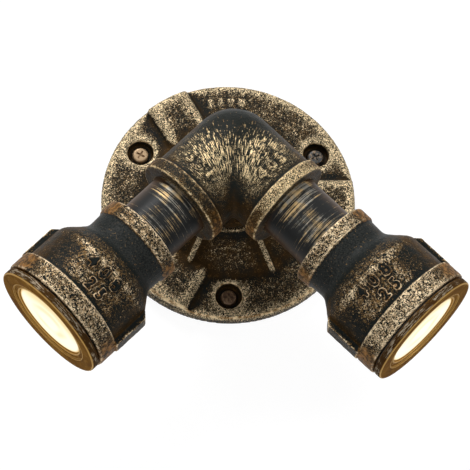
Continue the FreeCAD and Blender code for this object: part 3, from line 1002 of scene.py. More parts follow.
@dataclass(frozen=True)
class CastMark:
    """A row of raised plain digits on a casting.

    Args:
        digits: what the row says.
        height: height of the digits in millimetres.
        proud: how far they stand above the surface.
        radius: radius of the round surface, or of the circle that they follow on a flat one.
        along: place of the surface, or of the row's middle, on the axis.
        azimuth: place of the row's middle round the axis, in degrees.
        spacing: distance between digits.
        arm: the arm whose frame they are told in, or None for the casting's own.
        cap: height of a digit as a share of its font's size.
        bold: how much its strokes are widened, as a share of its height.
    """

    digits: str
    height: float
    proud: float
    radius: float
    along: float
    azimuth: float
    spacing: float
    arm: Side | None = None
    cap: float = 0.72
    bold: float = 0.045

    def axes(self, angle: float) -> tuple[Vector, Vector, Vector]:
        """Directions of a digit at an angle round the axis.

        Args:
            angle: the angle in radians.

        Returns:
            Its right, up and outward directions.
        """
        outwards = Vector((math.sin(angle), -math.cos(angle), 0.0))
        up = Vector((0.0, 0.0, -1.0))
        return up.cross(outwards), up, outwards

    def place(self, angle: float) -> Vector:
        """Middle of a digit at an angle round the axis."""
        return Vector((math.sin(angle) * self.radius, -math.cos(angle) * self.radius, self.along))

    def build(self, axis: Axis) -> list[bpy.types.Object]:
        """Models the digits one by one, each flat on the surface under it.

        Args:
            axis: the surface's frame.

        Returns:
            The digits' meshes.
        """
        pieces = []
        turn = math.degrees(self.spacing / self.radius)
        for i, digit in enumerate(self.digits):
            angle = math.radians(self.azimuth - (i - (len(self.digits) - 1) / 2.0) * turn)
            turned_axes = Matrix(self.axes(angle)).transposed()
            pieces.append(self.digit(digit, axis, turned_axes, self.place(angle)))
        return pieces

    def digit(self, digit: str, axis: Axis, turn: Matrix, place: Vector) -> bpy.types.Object:
        """Models one digit.

        Args:
            digit: the digit.
            axis: the surface's frame.
            turn: its own axes in that frame.
            place: its middle in that frame, in millimetres.

        Returns:
            The digit's mesh.
        """
        bpy.ops.object.select_all(action="DESELECT")
        bpy.ops.object.text_add(location=(0.0, 0.0, 0.0))
        piece = bpy.context.object
        text = piece.data
        text.body = digit
        text.align_x = "CENTER"
        text.align_y = "CENTER"
        text.size = self.height / self.cap * MM
        text.extrude = self.proud * MM
        text.offset = self.bold * self.height * MM
        select_only(piece)
        bpy.ops.object.convert(target="MESH")
        bpy.ops.object.mode_set(mode="EDIT")
        bpy.ops.mesh.select_all(action="SELECT")
        bpy.ops.mesh.remove_doubles(threshold=0.01 * MM)
        bpy.ops.object.mode_set(mode="OBJECT")
        piece.matrix_world = axis.matrix() @ Matrix.Translation(place * MM) @ turn.to_4x4()
        bpy.ops.object.transform_apply(location=True, rotation=True, scale=True)
        return piece


@dataclass(frozen=True)
class FlatMark(CastMark):
    """A row of raised digits on a flat face, along a circle, with their feet to its middle."""

    def axes(self, angle: float) -> tuple[Vector, Vector, Vector]:
        """Directions of a digit at an angle from the local X axis.

        Args:
            angle: the angle in radians.

        Returns:
            Its right, up and outward directions.
        """
        up = Vector((math.cos(angle), math.sin(angle), 0.0))
        outwards = Vector((0.0, 0.0, 1.0))
        return up.cross(outwards), up, outwards

    def place(self, angle: float) -> Vector:
        """Middle of a digit at an angle from the local X axis."""
        return Vector((math.cos(angle) * self.radius, math.sin(angle) * self.radius, self.along))


def join(piece: bpy.types.Object, others: Iterable[bpy.types.Object]) -> None:
    """Joins other meshes into a piece.

    Args:
        piece: the piece.
        others: the meshes, which are gone afterwards.
    """
    select_only(piece)
    for other in others:
        other.select_set(True)
    bpy.ops.object.join()


# ---- castings ------------------------------------------------------------------------------------
@dataclass
class Casting:
    """A rough casting: the CAD shape with cast marks, softened corners, dents and brushed wear.

    Args:
        node: the CAD node that it stands for.
        name: the piece's name.
        body: the CAD body that it rides on.
        axis: the frame that its wear is told in.
        voxel: edge of the remeshed surface in millimetres.
        marks: raised digits.
        dents: size and depth in millimetres of each layer of dents.
        soften: smoothing rounds of the whole skin.
        crease_rounds: smoothing rounds of the rounds between branches.
        finish: its material.
    """

    node: str
    name: str
    body: str
    axis: Axis
    voxel: float = 0.55
    marks: list[CastMark] = field(default_factory=list)
    dents: tuple[tuple[float, float], ...] = ((6.0, 0.30), (1.9, 0.22))
    soften: int = 6
    crease_rounds: int = 120
    finish: CastIron = CastIron()

    def build(self) -> bpy.types.Object:
        """Models, wears and dresses the casting.

        Returns:
            The finished piece.
        """
        piece = cast_copy(self.node, self.name)
        for mark in self.marks:
            join(piece, mark.build(arm_axis(mark.arm) if mark.arm else self.axis))
        apply(piece, "REMESH", {"mode": "VOXEL", "voxel_size": self.voxel * MM, "use_smooth_shade": True})
        local = self.axis.local(points_of(piece))
        weigh(piece, "rough", self.roughness(local))
        weigh(piece, "soft", self.softness(local))
        apply(piece, "SMOOTH", {"factor": 0.5, "iterations": self.soften, "vertex_group": "soft"})
        weigh(piece, "crease", self.creases(local))
        apply(piece, "SMOOTH", {"factor": 0.5, "iterations": self.crease_rounds, "vertex_group": "crease"})
        for size, depth in self.dents:
            clouds(piece, size, depth, "rough")
        weigh(piece, "hidden", self.hidden(local))
        thin(piece, "hidden")
        piece.vertex_groups.clear()
        self.wear(piece)
        select_only(piece)
        bpy.ops.object.shade_smooth()
        dress(piece, self.finish.material(self.name + "_iron"))
        settle(piece, self.body, "cast_iron", self.node)
        return piece

    def roughness(self, local: np.ndarray) -> np.ndarray:
        """How rough the skin is at each vertex."""
        raise NotImplementedError

    def hidden(self, local: np.ndarray) -> np.ndarray:
        """How far each vertex lies inside, where fewer triangles do."""
        return 1.0 - self.roughness(local)

    def softness(self, local: np.ndarray) -> np.ndarray:
        """How much each vertex is smoothed."""
        return np.full(len(local), 0.5)

    def creases(self, local: np.ndarray) -> np.ndarray:
        """Where branches flow into each other with a wide round."""
        return np.zeros(len(local))

    def wear(self, piece: bpy.types.Object) -> None:
        """Stores the attributes that CastIron reads."""
        raise NotImplementedError


@dataclass
class FlangeCasting(Casting):
    """The wall flange: speckled disc and pads, darker cone, bright rims."""

    def roughness(self, local: np.ndarray) -> np.ndarray:
        """Rough all over but for the back face and the bore."""
        return rise(local[:, 2], 0.2, 1.2) * rise(radius_of(local), SIZES.pipe_r + 0.8, SIZES.pipe_r + 2.5)

    def softness(self, local: np.ndarray) -> np.ndarray:
        """Softer on the hub and the pads' sides than at the rim and the back."""
        inner = within(radius_of(local), SIZES.pipe_r + 3.0, SIZES.flange_r - 3.0, 2.0)
        return rise(local[:, 2], 1.0, 3.0) * (0.35 + 0.65 * inner)

    def wear(self, piece: bpy.types.Object) -> None:
        """Stores the attributes that CastIron reads.

        Args:
            piece: the casting.
        """
        local = self.axis.local(points_of(piece))
        radius = radius_of(local)
        height = local[:, 2]
        fine = relief_of(piece, 6)
        broad = relief_of(piece, 80)
        disc = rise(radius, SIZES.hub_foot_r - 2.0, SIZES.hub_foot_r + 7.0)
        cone = rise(radius, SIZES.hub_top_r, SIZES.hub_top_r + 5.0) * (1.0 - disc)
        side = rise(height, SIZES.rim - 0.8, SIZES.rim - 2.2) * rise(radius, 63.0, 64.4)
        below = rise(local[:, 1], 5.0, -45.0)
        # gold thins low on the cone: partly painted shade of the lower hub
        gold = 0.52 * disc + (0.40 - 0.06 * below) * cone + 0.04
        gold += np.clip(fine * 2.5, -0.30, 0.35) + np.clip(broad * 1.5, -0.75, 0.52)
        gold -= 0.55 * side
        gold *= rise(height, 0.3, 1.0)
        rim = within(radius, 63.2, 64.2, 0.35) * rise(height, SIZES.rim - 1.6, SIZES.rim - 0.4)
        rim *= 0.45 + 0.55 * below
        ridge = rise(fine, 0.07, 0.18) * rise(broad, 0.15, 0.5) * rise(radius, 60.0, 55.0)
        ridge *= 0.45 + 0.45 * below
        store(
            piece,
            gold=gold,
            glaze=0.25 + 0.42 * cone - broad * 0.5 + 0.15 * side,
            edge=np.maximum(np.maximum(rim * 0.75, ridge), self.pocket_rims(local) * 0.6),
        )

    def pocket_rims(self, local: np.ndarray) -> np.ndarray:
        """The thin rubbed ring round each screw pocket.

        Args:
            local: the vertices in the flange's frame.

        Returns:
            1 on a ring and 0 elsewhere.
        """
        rims = np.zeros(len(local))
        for angle in SCREW_ANGLES:
            x = SIZES.screw_circle_r * math.cos(math.radians(angle))
            y = SIZES.screw_circle_r * math.sin(math.radians(angle))
            away = np.hypot(local[:, 0] - x, local[:, 1] - y)
            rims = np.maximum(rims, within(away, 6.3, 7.1, 0.35))
        return rims * rise(local[:, 2], SIZES.rim - 1.2, SIZES.rim - 0.2)


@dataclass
class ElbowCasting(Casting):
    """The three-way elbow: gold strokes on its lower front, banded ends, brown sides.

    Args:
        band_start: place of its bands' inner edge on each branch.
        brushing: how much the left and the right band were brushed.
    """

    band_start: float = SIZES.elbow_reach - SIZES.elbow_band
    brushing: tuple[float, float] = (0.40, 1.0)

    def arms(self, points: np.ndarray) -> list[np.ndarray]:
        """Local points on both arms' frames."""
        return [arm_axis(side).local(points) for side in Side]

    def row_points(self, local: np.ndarray) -> np.ndarray:
        """Row frame metres again from this casting's local millimetres."""
        turn = np.array(self.axis.euler().to_matrix())
        return (local @ turn.T + np.array(self.axis.origin)) * MM

    def roughness(self, local: np.ndarray) -> np.ndarray:
        """Rough outside and smooth in the bores.

        Args:
            local: the vertices in this casting's frame.

        Returns:
            1 where it is rough, for each vertex.
        """
        points = self.row_points(local)
        rough = np.ones(len(points))
        for arm in self.arms(points):
            outside = rise(radius_of(arm), 19.0, 21.0)
            rough = np.minimum(rough, np.where(arm[:, 2] > 5.0, outside, 1.0))
        rear = np.hypot(points[:, 0], points[:, 2]) / MM
        rough = np.minimum(rough, np.where(points[:, 1] / MM > -60.0, rise(rear, 19.0, 21.0), 1.0))
        centre = np.linalg.norm(points / MM - CROSSING, axis=1)
        return rough * rise(centre, 20.0, 21.5)

    def creases(self, local: np.ndarray) -> np.ndarray:
        """The crotch between the arms, and where they leave the rear branch.

        Args:
            local: the vertices in this casting's frame.

        Returns:
            1 where it is rounded out, for each vertex.
        """
        row = self.row_points(local)
        points = row / MM - CROSSING
        outside = rise(np.linalg.norm(points, axis=1), 21.0, 22.4)
        crotch = rise(np.abs(points[:, 0]), 11.0, 3.0) * rise(points[:, 2], 4.0, -8.0)
        rear = rise(np.abs(points[:, 1] - 14.0), 14.0, 5.0)
        rear = rear * rise(np.hypot(points[:, 0], points[:, 2]), 34.0, 28.0)
        bands = rise(points[:, 1], self.band_start - 0.5, self.band_start - 3.5)
        for arm in self.arms(row):
            bands = np.minimum(bands, rise(arm[:, 2], self.band_start - 0.5, self.band_start - 3.5))
        return outside * np.maximum(crotch, rear) * bands

    def wear(self, piece: bpy.types.Object) -> None:
        """Stores the attributes that CastIron reads.

        Args:
            piece: the casting.
        """
        points = points_of(piece)
        fine = relief_of(piece, 6)
        broad = relief_of(piece, 60)
        mm = points / MM - CROSSING
        outwards = mm / np.maximum(np.linalg.norm(mm, axis=1), 1.0)[:, None]
        front = rise(-outwards[:, 1], 0.15, 0.85)
        band, banded, barrel, edge, rust = np.zeros((5, len(points)))
        start, end = self.band_start, SIZES.elbow_reach
        for arm, brushing in zip(self.arms(points), self.brushing):
            radius = radius_of(arm)
            along = arm[:, 2]
            facing = rise(np.abs(azimuth_of(arm)), 80.0, 25.0)
            on_band = rise(along, start - 0.6, start) * rise(radius, 22.9, 23.6)
            banded = np.maximum(banded, on_band)
            band = np.maximum(band, on_band * (0.30 + 0.70 * facing) * brushing)
            for low in (start + 0.4, end - 0.7):
                lip = within(along, low, low + 0.3, 0.3) * rise(radius, 22.9, 23.6)
                edge = np.maximum(edge, lip * (0.55 + 0.15 * facing))
            letters = within(radius, SIZES.elbow_body_r + 0.15, SIZES.elbow_body_r + 0.40, 0.15)
            letters = letters * within(along, 10.0, start - 1.5, 0.5) * rise(np.abs(mm[:, 0]), 6.0, 8.0)
            edge = np.maximum(edge, letters * 0.50 * rise(-outwards[:, 1], 0.3, 0.6))
            rust = np.maximum(rust, on_band * (1.0 - facing))
            edge = np.maximum(edge, 0.50 * rust)
            barrel = np.maximum(barrel, within(along, 12.0, start - 4.0, 5.0) * facing)
        low = rise(mm[:, 2], 16.0, -4.0)
        gold = 0.06 + 0.64 * front * low + 0.20 * front + 0.14 * barrel
        gold -= 0.25 * rise(np.abs(mm[:, 0]), 6.0, 1.0) * rise(mm[:, 2], -12.0, -22.0)
        gold -= 0.12 * rise(np.abs(mm[:, 0]), 10.0, 3.0) * rise(mm[:, 2], -12.0, 0.0) * front
        gold = gold * (1.0 - banded) + 0.80 * band
        gold += np.clip(fine * 3.5, -0.3, 0.5) + np.clip(broad * 0.3, -0.5, 0.2)
        store(
            piece,
            gold=gold,
            glaze=0.76 - 0.72 * front - broad * 0.35 + 0.1 * band + 0.4 * rust,
            edge=edge,
            streak=front * (1.0 - band * 1.4) * 0.95,
        )


@dataclass
class BellCasting(Casting):
    """A bell reducer: speckled bands and shoulder, smooth neck with a painted sheen, dark panels beside the
    lugs.

    Args:
        start: place of its small end on the arm.
        lean: azimuth in degrees of the middle of its brushed front.
        brush: how much its bands were brushed.
        mouth: place of the big band's inner edge from the small end.
    """

    start: float = 0.0
    lean: float = 0.0
    brush: float = 1.0
    mouth: float = SIZES.bell - SIZES.big_band

    def stretch(self, local: np.ndarray) -> np.ndarray:
        """Distance of each vertex from the small end."""
        return local[:, 2] - self.start

    def outside(self, local: np.ndarray) -> np.ndarray:
        """Tells the outer skin from the bore and the cavity.

        Args:
            local: the vertices in this casting's frame.

        Returns:
            1 on the outer skin and 0 inside, for each vertex.
        """
        stretches = [0.0, 14.0, 19.5, 30.0, SIZES.bell]
        wall = np.interp(self.stretch(local), stretches, [18.6, 18.8, 19.4, 27.6, 28.2])
        return rise(radius_of(local), wall, wall + 0.8)

    def hidden(self, local: np.ndarray) -> np.ndarray:
        """The bore and the cavity."""
        return 1.0 - self.outside(local)

    def roughness(self, local: np.ndarray) -> np.ndarray:
        """Rough on bands and body, fine on the neck, smooth inside."""
        neck = within(self.stretch(local), SIZES.small_band + 1.0, SIZES.waist_at + 2.5, 2.5)
        return self.outside(local) * (1.0 - 0.85 * neck)

    def lips(self, t: np.ndarray, radius: np.ndarray) -> np.ndarray:
        """The rubbed edges of both bands.

        Args:
            t: distance of each vertex from the small end.
            radius: its distance from the axis.

        Returns:
            1 on an edge and 0 elsewhere.
        """
        lips = np.zeros(len(t))
        for low, high, foot in ((0.0, SIZES.small_band, 22.0), (self.mouth, SIZES.bell, 31.2)):
            for place in (low + 0.55, high - 0.55):
                lip = within(t, place - 0.15, place + 0.15, 0.3) * rise(radius, foot, foot + 0.4)
                lips = np.maximum(lips, lip)
        return lips

    def wear(self, piece: bpy.types.Object) -> None:
        """Stores the attributes that CastIron reads.

        Args:
            piece: the casting.
        """
        local = self.axis.local(points_of(piece))
        t = self.stretch(local)
        radius = radius_of(local)
        outside = self.outside(local)
        fine = relief_of(piece, 6)
        broad = relief_of(piece, 60)
        azimuth = np.abs(azimuth_of(local, self.lean))
        front = np.maximum(rise(azimuth, 68.0, 30.0), 0.7 * rise(180.0 - azimuth, 60.0, 25.0))
        small = within(t, 0.0, SIZES.small_band, 0.6)
        neck = within(t, SIZES.small_band + 0.5, SIZES.waist_at + 3.5, 2.0)
        shoulder = within(t, 24.0, 31.0, 3.5)
        body = within(t, 30.0, self.mouth, 1.5)
        big = within(t, self.mouth, SIZES.bell, 0.6)
        lug = rise(np.abs(local[:, 1]), 5.6, 4.4) * rise(radius, 29.9, 30.6)
        lug = lug * within(t, 26.0, self.mouth, 0.8)
        halo = within(t, 31.0, 46.5, 1.5) * rise(azimuth, 36.0, 24.0)
        marked = within(t, 30.0, 47.5, 0.5) * rise(azimuth, 40.0, 36.0)
        raised = rise(radius, 30.30, 30.5) * marked
        outline = within(radius, 29.98, 30.35, 0.1) * marked
        gold = small * (0.22 + 0.50 * front) * self.brush + big * (0.26 + 0.50 * front) * self.brush
        gold += body * (0.10 + 0.16 * front) + shoulder * (0.08 + 0.26 * front) + halo * 0.30
        gold += neck * (1.8 * (self.brush - 1.0) - 0.06)
        gold += np.clip(fine * 3.0, -0.3, 0.5) * (1.0 - 0.8 * neck) + np.clip(broad * 0.25, -0.4, 0.2)
        gold += 0.55 * outline - 0.75 * raised + 0.15 * lug
        lips = self.lips(t, radius) * (0.50 + 0.20 * front)
        lips = np.maximum(lips, np.maximum(small, big) * rise(front, 0.85, 0.1) * outside * 0.55)
        lug_edge = rise(radius, 29.9, 30.4) * within(t, 25.0, self.mouth - 0.5, 0.5)
        lug_edge = lug_edge * rise(fine, 0.04, 0.14) * rise(azimuth, 52.0, 60.0)
        # painted sheen on the neck, strongest on the front
        satin = within(t, SIZES.small_band + 1.0, SIZES.waist_at + 1.0, 4.0)
        store(
            piece,
            gold=gold * outside,
            glaze=0.80 - 0.80 * front * (1.0 - 0.3 * shoulder) - 0.45 * neck - broad * 0.25 - 0.9 * lug,
            edge=np.maximum(lips, np.maximum(lug_edge * 0.7, outline * 0.85)),
            satin=satin * rise(azimuth, 95.0, 20.0),
        )


# ---- turned parts --------------------------------------------------------------------------------
@dataclass
class Nipple:
    """The pipe between the elbow and a bell, with fine turning grooves where it shows.

    Args:
        side: which arm.
        chamfer: chamfer of its ends.
        groove: depth of its grooves.
        groove_pitch: distance between them.
    """

    side: Side
    chamfer: float = 1.2
    groove: float = 0.05
    groove_pitch: float = 0.75

    def build(self) -> bpy.types.Object:
        """Models, scratches and dresses the pipe.

        Returns:
            The finished piece.
        """
        axis = arm_axis(self.side)
        middle = (SIZES.elbow_reach + bell_start(self.side)) / 2.0
        low = middle - SIZES.nipple / 2.0
        high = middle + SIZES.nipple / 2.0
        r = SIZES.pipe_r
        outline = [(SIZES.pipe_bore_r, low), (r - self.chamfer, low), (r, low + self.chamfer)]
        count = int((bell_start(self.side) - SIZES.elbow_reach) / self.groove_pitch)
        for i in range(count):
            z = SIZES.elbow_reach + (i + 0.5) * self.groove_pitch
            outline += [(r, z), (r - self.groove, z + self.groove_pitch / 2.0)]
        outline += [(r, high - self.chamfer), (r - self.chamfer, high), (SIZES.pipe_bore_r, high)]
        piece = turned(self.side.label + "pipe_nipple", outline, axis)
        self.wear(piece, axis.local(points_of(piece)))
        dress(piece, ScratchedPipe(axis).material(piece.name + "_steel"))
        settle(piece, "elbow_group", "pipe_steel", self.side.label + "nipple")
        return piece

    def wear(self, piece: bpy.types.Object, local: np.ndarray) -> None:
        """Stores the gold and glaze attributes: gold in front, and by the elbow's band above a brighter
        patch of scratches that is partly a painted highlight.

        Args:
            piece: the pipe.
            local: its vertices in the arm's frame.
        """
        azimuth = azimuth_of(local, LEAN * self.side.value)
        away = np.abs(azimuth)
        s = local[:, 2] - SIZES.elbow_reach
        # upper patch by the elbow's band: scratches and a painted highlight, brighter on the right arm
        upper = rise(azimuth * self.side.value, 10.0, -35.0) * rise(away, 75.0, 45.0)
        patch = 0.55 if self.side is Side.LEFT else 0.95
        gold = 0.20 + (0.48 + 0.06 * self.side.value) * rise(away, 45.0, 12.0)
        store(
            piece,
            gold=gold + patch * rise(s, 15.0, 2.0) * upper,
            glaze=0.75 * rise(away, 25.0, 80.0) + 0.4 * rise(s, 4.0, 0.0),
        )


@dataclass
class Lamp:
    """The lamp that screws into a bell: seal, brass ring with its threaded collar, and lens.

    Args:
        side: which arm.
        edge: round of the ring's back edge.
        rim: round of its front edge.
        bead: height of the bead round the lens.
        step: depth of the ring's stepped front.
        lip: thickness of what stands in front of the lens' flange.
        gap: space between the lens and the ring.
        threads: turns of thread on the collar.
        gasket: thickness of the gasket that the lens' flange seats on.
        flange: thickness of that flange.
        dome: height of the lens' dome.
        dome_rings: rings of points that make the dome.
    """

    side: Side
    edge: float = 0.6
    rim: float = 0.9
    bead: float = 0.25
    step: float = 1.0
    lip: float = 1.0
    gap: float = 0.3
    threads: int = 4
    gasket: float = 0.8
    flange: float = 2.1
    dome: float = 0.4
    dome_rings: int = 8

    def mouth(self) -> float:
        """Place of the bell's mouth on the arm."""
        return bell_start(self.side) + SIZES.bell

    def front(self) -> float:
        """Place of the ring's front on the arm."""
        return self.mouth() + SIZES.seal + SIZES.bezel

    def build(self) -> list[bpy.types.Object]:
        """The lamp's finished outer pieces."""
        return [self.seal(), self.ring(), self.lens()]

    def seal(self) -> bpy.types.Object:
        """Rubber seal between the bell and the ring.

        Returns:
            The finished piece.
        """
        low, high = self.mouth(), self.mouth() + SIZES.seal
        outer = SIZES.bezel_r - 1.8
        inner = SIZES.collar_r + 0.05
        outline = rounded([(inner, low), (outer, low, 0.3), (outer, high, 0.3), (inner, high)], 4)
        piece = turned(self.side.label + "rubber_seal", outline, arm_axis(self.side))
        rubber = Plain((0.012, 0.011, 0.010), (0.03, 0.022, 0.015), 0.6)
        dress(piece, rubber.material(piece.name + "_rubber"))
        settle(piece, self.side.label + "seal", "seal_rubber", self.side.label + "bezel_seal")
        return piece

    def collar(self, back: float) -> list[tuple[float, float]]:
        """Outline of the threaded collar.

        Args:
            back: place of the ring's back on the arm.

        Returns:
            The outline's points, from the bore at its end to the last thread.
        """
        end = back - SIZES.collar
        outline = [(SIZES.collar_bore_r, end), (SIZES.collar_r, end)]
        for i in range(self.threads):
            z = end + 1.6 + i * SIZES.thread_pitch
            root = SIZES.collar_r - SIZES.thread_depth
            outline += [(SIZES.collar_r, z - 0.8), (root, z), (SIZES.collar_r, z + 0.8)]
        return outline

    def ring(self) -> bpy.types.Object:
        """Brass ring with a threaded collar, a rounded rim and beads round its stepped front.

        Returns:
            The finished piece.
        """
        axis = arm_axis(self.side)
        back = self.mouth() + SIZES.seal
        front = back + SIZES.bezel
        step = front - self.step
        inner = SIZES.lens_r + self.gap
        step_r = SIZES.step_r
        outline = self.collar(back) + rounded([
            (SIZES.collar_r, back), (SIZES.bezel_r, back, self.edge), (SIZES.bezel_r, front, self.rim),
            (step_r + 1.0, front, 0.2), (step_r + 0.8, front - 0.25, 0.1),
            (step_r + 0.45, front - 0.25, 0.1), (step_r + 0.25, front, 0.1), (step_r, front, 0.1),
            (step_r, step, 0.2), (inner + 0.9, step, 0.1), (inner + 0.7, step + self.bead, 0.1),
            (inner, step + self.bead, 0.15), (inner, step - self.lip),
            (SIZES.collar_bore_r, step - self.lip),
        ], 4)
        piece = turned(self.side.label + "lamp_ring", outline, axis)
        self.wear(piece, axis.local(points_of(piece)), front, inner)
        dress(piece, TurnedBrass(axis).material(piece.name + "_brass"))
        settle(piece, self.side.label + "lamp", "bezel_brass", self.side.label + "bezel_ring")
        return piece

    def wear(self, piece: bpy.types.Object, local: np.ndarray, front: float, inner: float) -> None:
        """Stores the side attribute of the ring's outside and the edge attribute of its front, which also
        carries a painted glow from the lens.

        Args:
            piece: the ring.
            local: its vertices in the arm's frame.
            front: place of its front on the arm.
            inner: radius of its opening.
        """
        radius = radius_of(local)
        height = local[:, 2]
        outer = SIZES.bezel_r
        rim = within(radius, outer - 0.75, outer - 0.1, 0.2) * rise(height, front - 0.9, front - 0.3)
        steps = within(radius, SIZES.step_r - 0.1, SIZES.step_r + 0.3, 0.15)
        bead = within(radius, inner, inner + 0.8, 0.1)
        # painted light: the stepped front between the bead and the step is half polished to stand in for the
        # glow from the lens
        bead = np.maximum(bead, 0.52 * within(radius, inner + 0.8, SIZES.step_r, 0.2))
        step = front - self.step
        edge = np.maximum(rim, np.maximum(steps, bead)) * rise(height, step - 0.6, step - 0.1)
        side = rise(radius, outer - 0.25, outer - 0.02) * rise(height, front - 0.3, front - 0.9)
        store(piece, side=side, edge=edge)

    def lens(self) -> bpy.types.Object:
        """Domed opal lens with its seating flange.

        Returns:
            The finished piece.
        """
        axis = arm_axis(self.side)
        r, flange_r = SIZES.lens_r, SIZES.lens_flange_r
        step = self.front() - self.step
        seat = step - self.lip - self.gasket
        front = step - 0.5
        back = seat - self.flange
        outline = [(0.0, back), (flange_r, back), (flange_r, seat), (r, seat), (r, front - 0.4),
                   (r - 0.12, front - 0.12)]
        for i in range(self.dome_rings + 1):
            place = (r - 0.4) * (1.0 - i / self.dome_rings)
            outline.append((place, front + self.dome * (1.0 - (place / r) ** 2)))
        piece = turned(self.side.label + "opal_lens", outline, axis)
        dress(piece, LitLens(axis).material(piece.name + "_glow"))
        settle(piece, self.side.label + "lamp", "lens_glass", self.side.label + "lens")
        return piece


# ---- small and hidden pieces ---------------------------------------------------------------------
STEEL = Plain(STEEL_GREY, (0.30, 0.29, 0.27), 0.35, 0.9)
SMALL_FINISHES: dict[str, Plain] = {
    "rear_nipple": Plain((0.022, 0.022, 0.023), (0.05, 0.03, 0.018), 0.45, 0.3),
    "insulating_bush": Plain((0.014, 0.014, 0.015), (0.02, 0.02, 0.02), 0.5),
    "earth_screw": Plain((0.50, 0.32, 0.10), (0.40, 0.24, 0.07), 0.35, 0.8),
    "earth_washer": Plain((0.52, 0.34, 0.11), (0.42, 0.26, 0.08), 0.35, 0.8),
    "terminal_block": Plain((0.66, 0.63, 0.56), (0.60, 0.57, 0.50), 0.5),
    "terminal_screws": STEEL,
    "lens_gasket": Plain((0.02, 0.02, 0.02), (0.03, 0.03, 0.03), 0.6),
    "reflector": Plain((0.75, 0.75, 0.73), (0.66, 0.66, 0.64), 0.15, 1.0, 6.0, 0.01),
    "retaining_ring": STEEL,
    "heat_sink": Plain((0.50, 0.51, 0.52), (0.42, 0.43, 0.44), 0.35, 0.9),
    "led_board": Plain((0.78, 0.78, 0.75), (0.72, 0.72, 0.70), 0.4),
    "led_emitter": Plain((0.80, 0.58, 0.10), (0.72, 0.50, 0.08), 0.3),
    "board_screws": STEEL,
    "led_leads": Plain((0.45, 0.02, 0.015), (0.36, 0.02, 0.012), 0.45),
    "led_driver": Plain((0.02, 0.02, 0.022), (0.035, 0.034, 0.034), 0.55),
    "live_wire": Plain((0.11, 0.04, 0.015), (0.09, 0.032, 0.012), 0.45),
    "neutral_wire": Plain((0.02, 0.06, 0.30), (0.016, 0.05, 0.25), 0.45),
}


@dataclass(frozen=True)
class ScrewSteel(Finish):
    """Wall screws: bare steel shanks, and heads of one steel coloured unlike each other as painted light and
    painted shade.

    Args:
        tan: painted light, the colour of the lit upper left head.
        brown: painted shadow, the colour of the bottom head in the fixture's shadow.
        grey: painted shade, the colour of the shaded upper right head.
    """

    tan: Colour = (0.40, 0.27, 0.15)
    brown: Colour = (0.11, 0.06, 0.03)
    grey: Colour = (0.035, 0.037, 0.038)

    def paint(self, g: Graph) -> dict[str, Any]:
        """Paints the surface.

        Args:
            g: the material's graph.

        Returns:
            The surface shader's values and links.
        """
        row = g.coords()
        cloud = g.noise(row, 1.4, 2.0, 0.6)
        # painted light and shade: each head is coloured by its place, lit at the upper left, shaded at the
        # upper right and bottom
        right = g.part(row, "X").above(5.0 * MM, 20.0 * MM)
        low = (0.0 - g.part(row, "Z")).above(5.0 * MM, 30.0 * MM)
        head = g.blend(right, self.tan, self.grey)
        head = g.blend(low, head, self.brown)
        # clouds of the lit tan on every head
        mottled_heads = g.blend(cloud.above(0.48, 0.62) * 0.5, head, self.tan)
        shank = g.part(row, "Y").above(-0.001 * MM, 0.2 * MM)
        return {
            "Base Color": g.blend(shank, mottled_heads, STEEL_GREY),
            "Metallic": 0.4 + shank * 0.5,
            "Roughness": 0.4 + (cloud - 0.5) * 0.2,
            "Normal": g.bump(cloud, 0.05),
        }


class HiddenPieces:
    """CAD nodes that keep their meshes and only take a finish."""

    def build(self) -> None:
        """Dresses every such node."""
        for node, piece in frame["nodes"].items():
            for label in ("", "left_", "right_"):
                finish = SMALL_FINISHES.get(node.removeprefix(label))
                if finish is not None:
                    dress(piece, finish.material(node + "_finish"))
                    log.info("%s keeps its CAD mesh", node)
                    break
        dress(frame["nodes"]["wall_screws"], ScrewSteel().material("wall_screws_steel"))
        log.info("wall_screws keeps its CAD mesh")


# ---- studio --------------------------------------------------------------------------------------
@dataclass(frozen=True)
class SoftLight:
    """A soft square light aimed at the elbow.

    Args:
        name: its name.
        place: where it is, in metres.
        size: its side in metres.
        power: its power in watts.
    """

    name: str
    place: Place
    size: float
    power: float

    def build(self) -> None:
        """Hangs the light."""
        data = bpy.data.lights.new(self.name, "AREA")
        data.size = self.size
        data.energy = self.power
        light = bpy.data.objects.new(self.name, data)
        bpy.context.scene.collection.objects.link(light)
        light.location = self.place
        aim = Vector((0.0, -SIZES.off_wall * MM, -0.03)) - Vector(self.place)
        light.rotation_euler = aim.to_track_quat("-Z", "Y").to_euler()


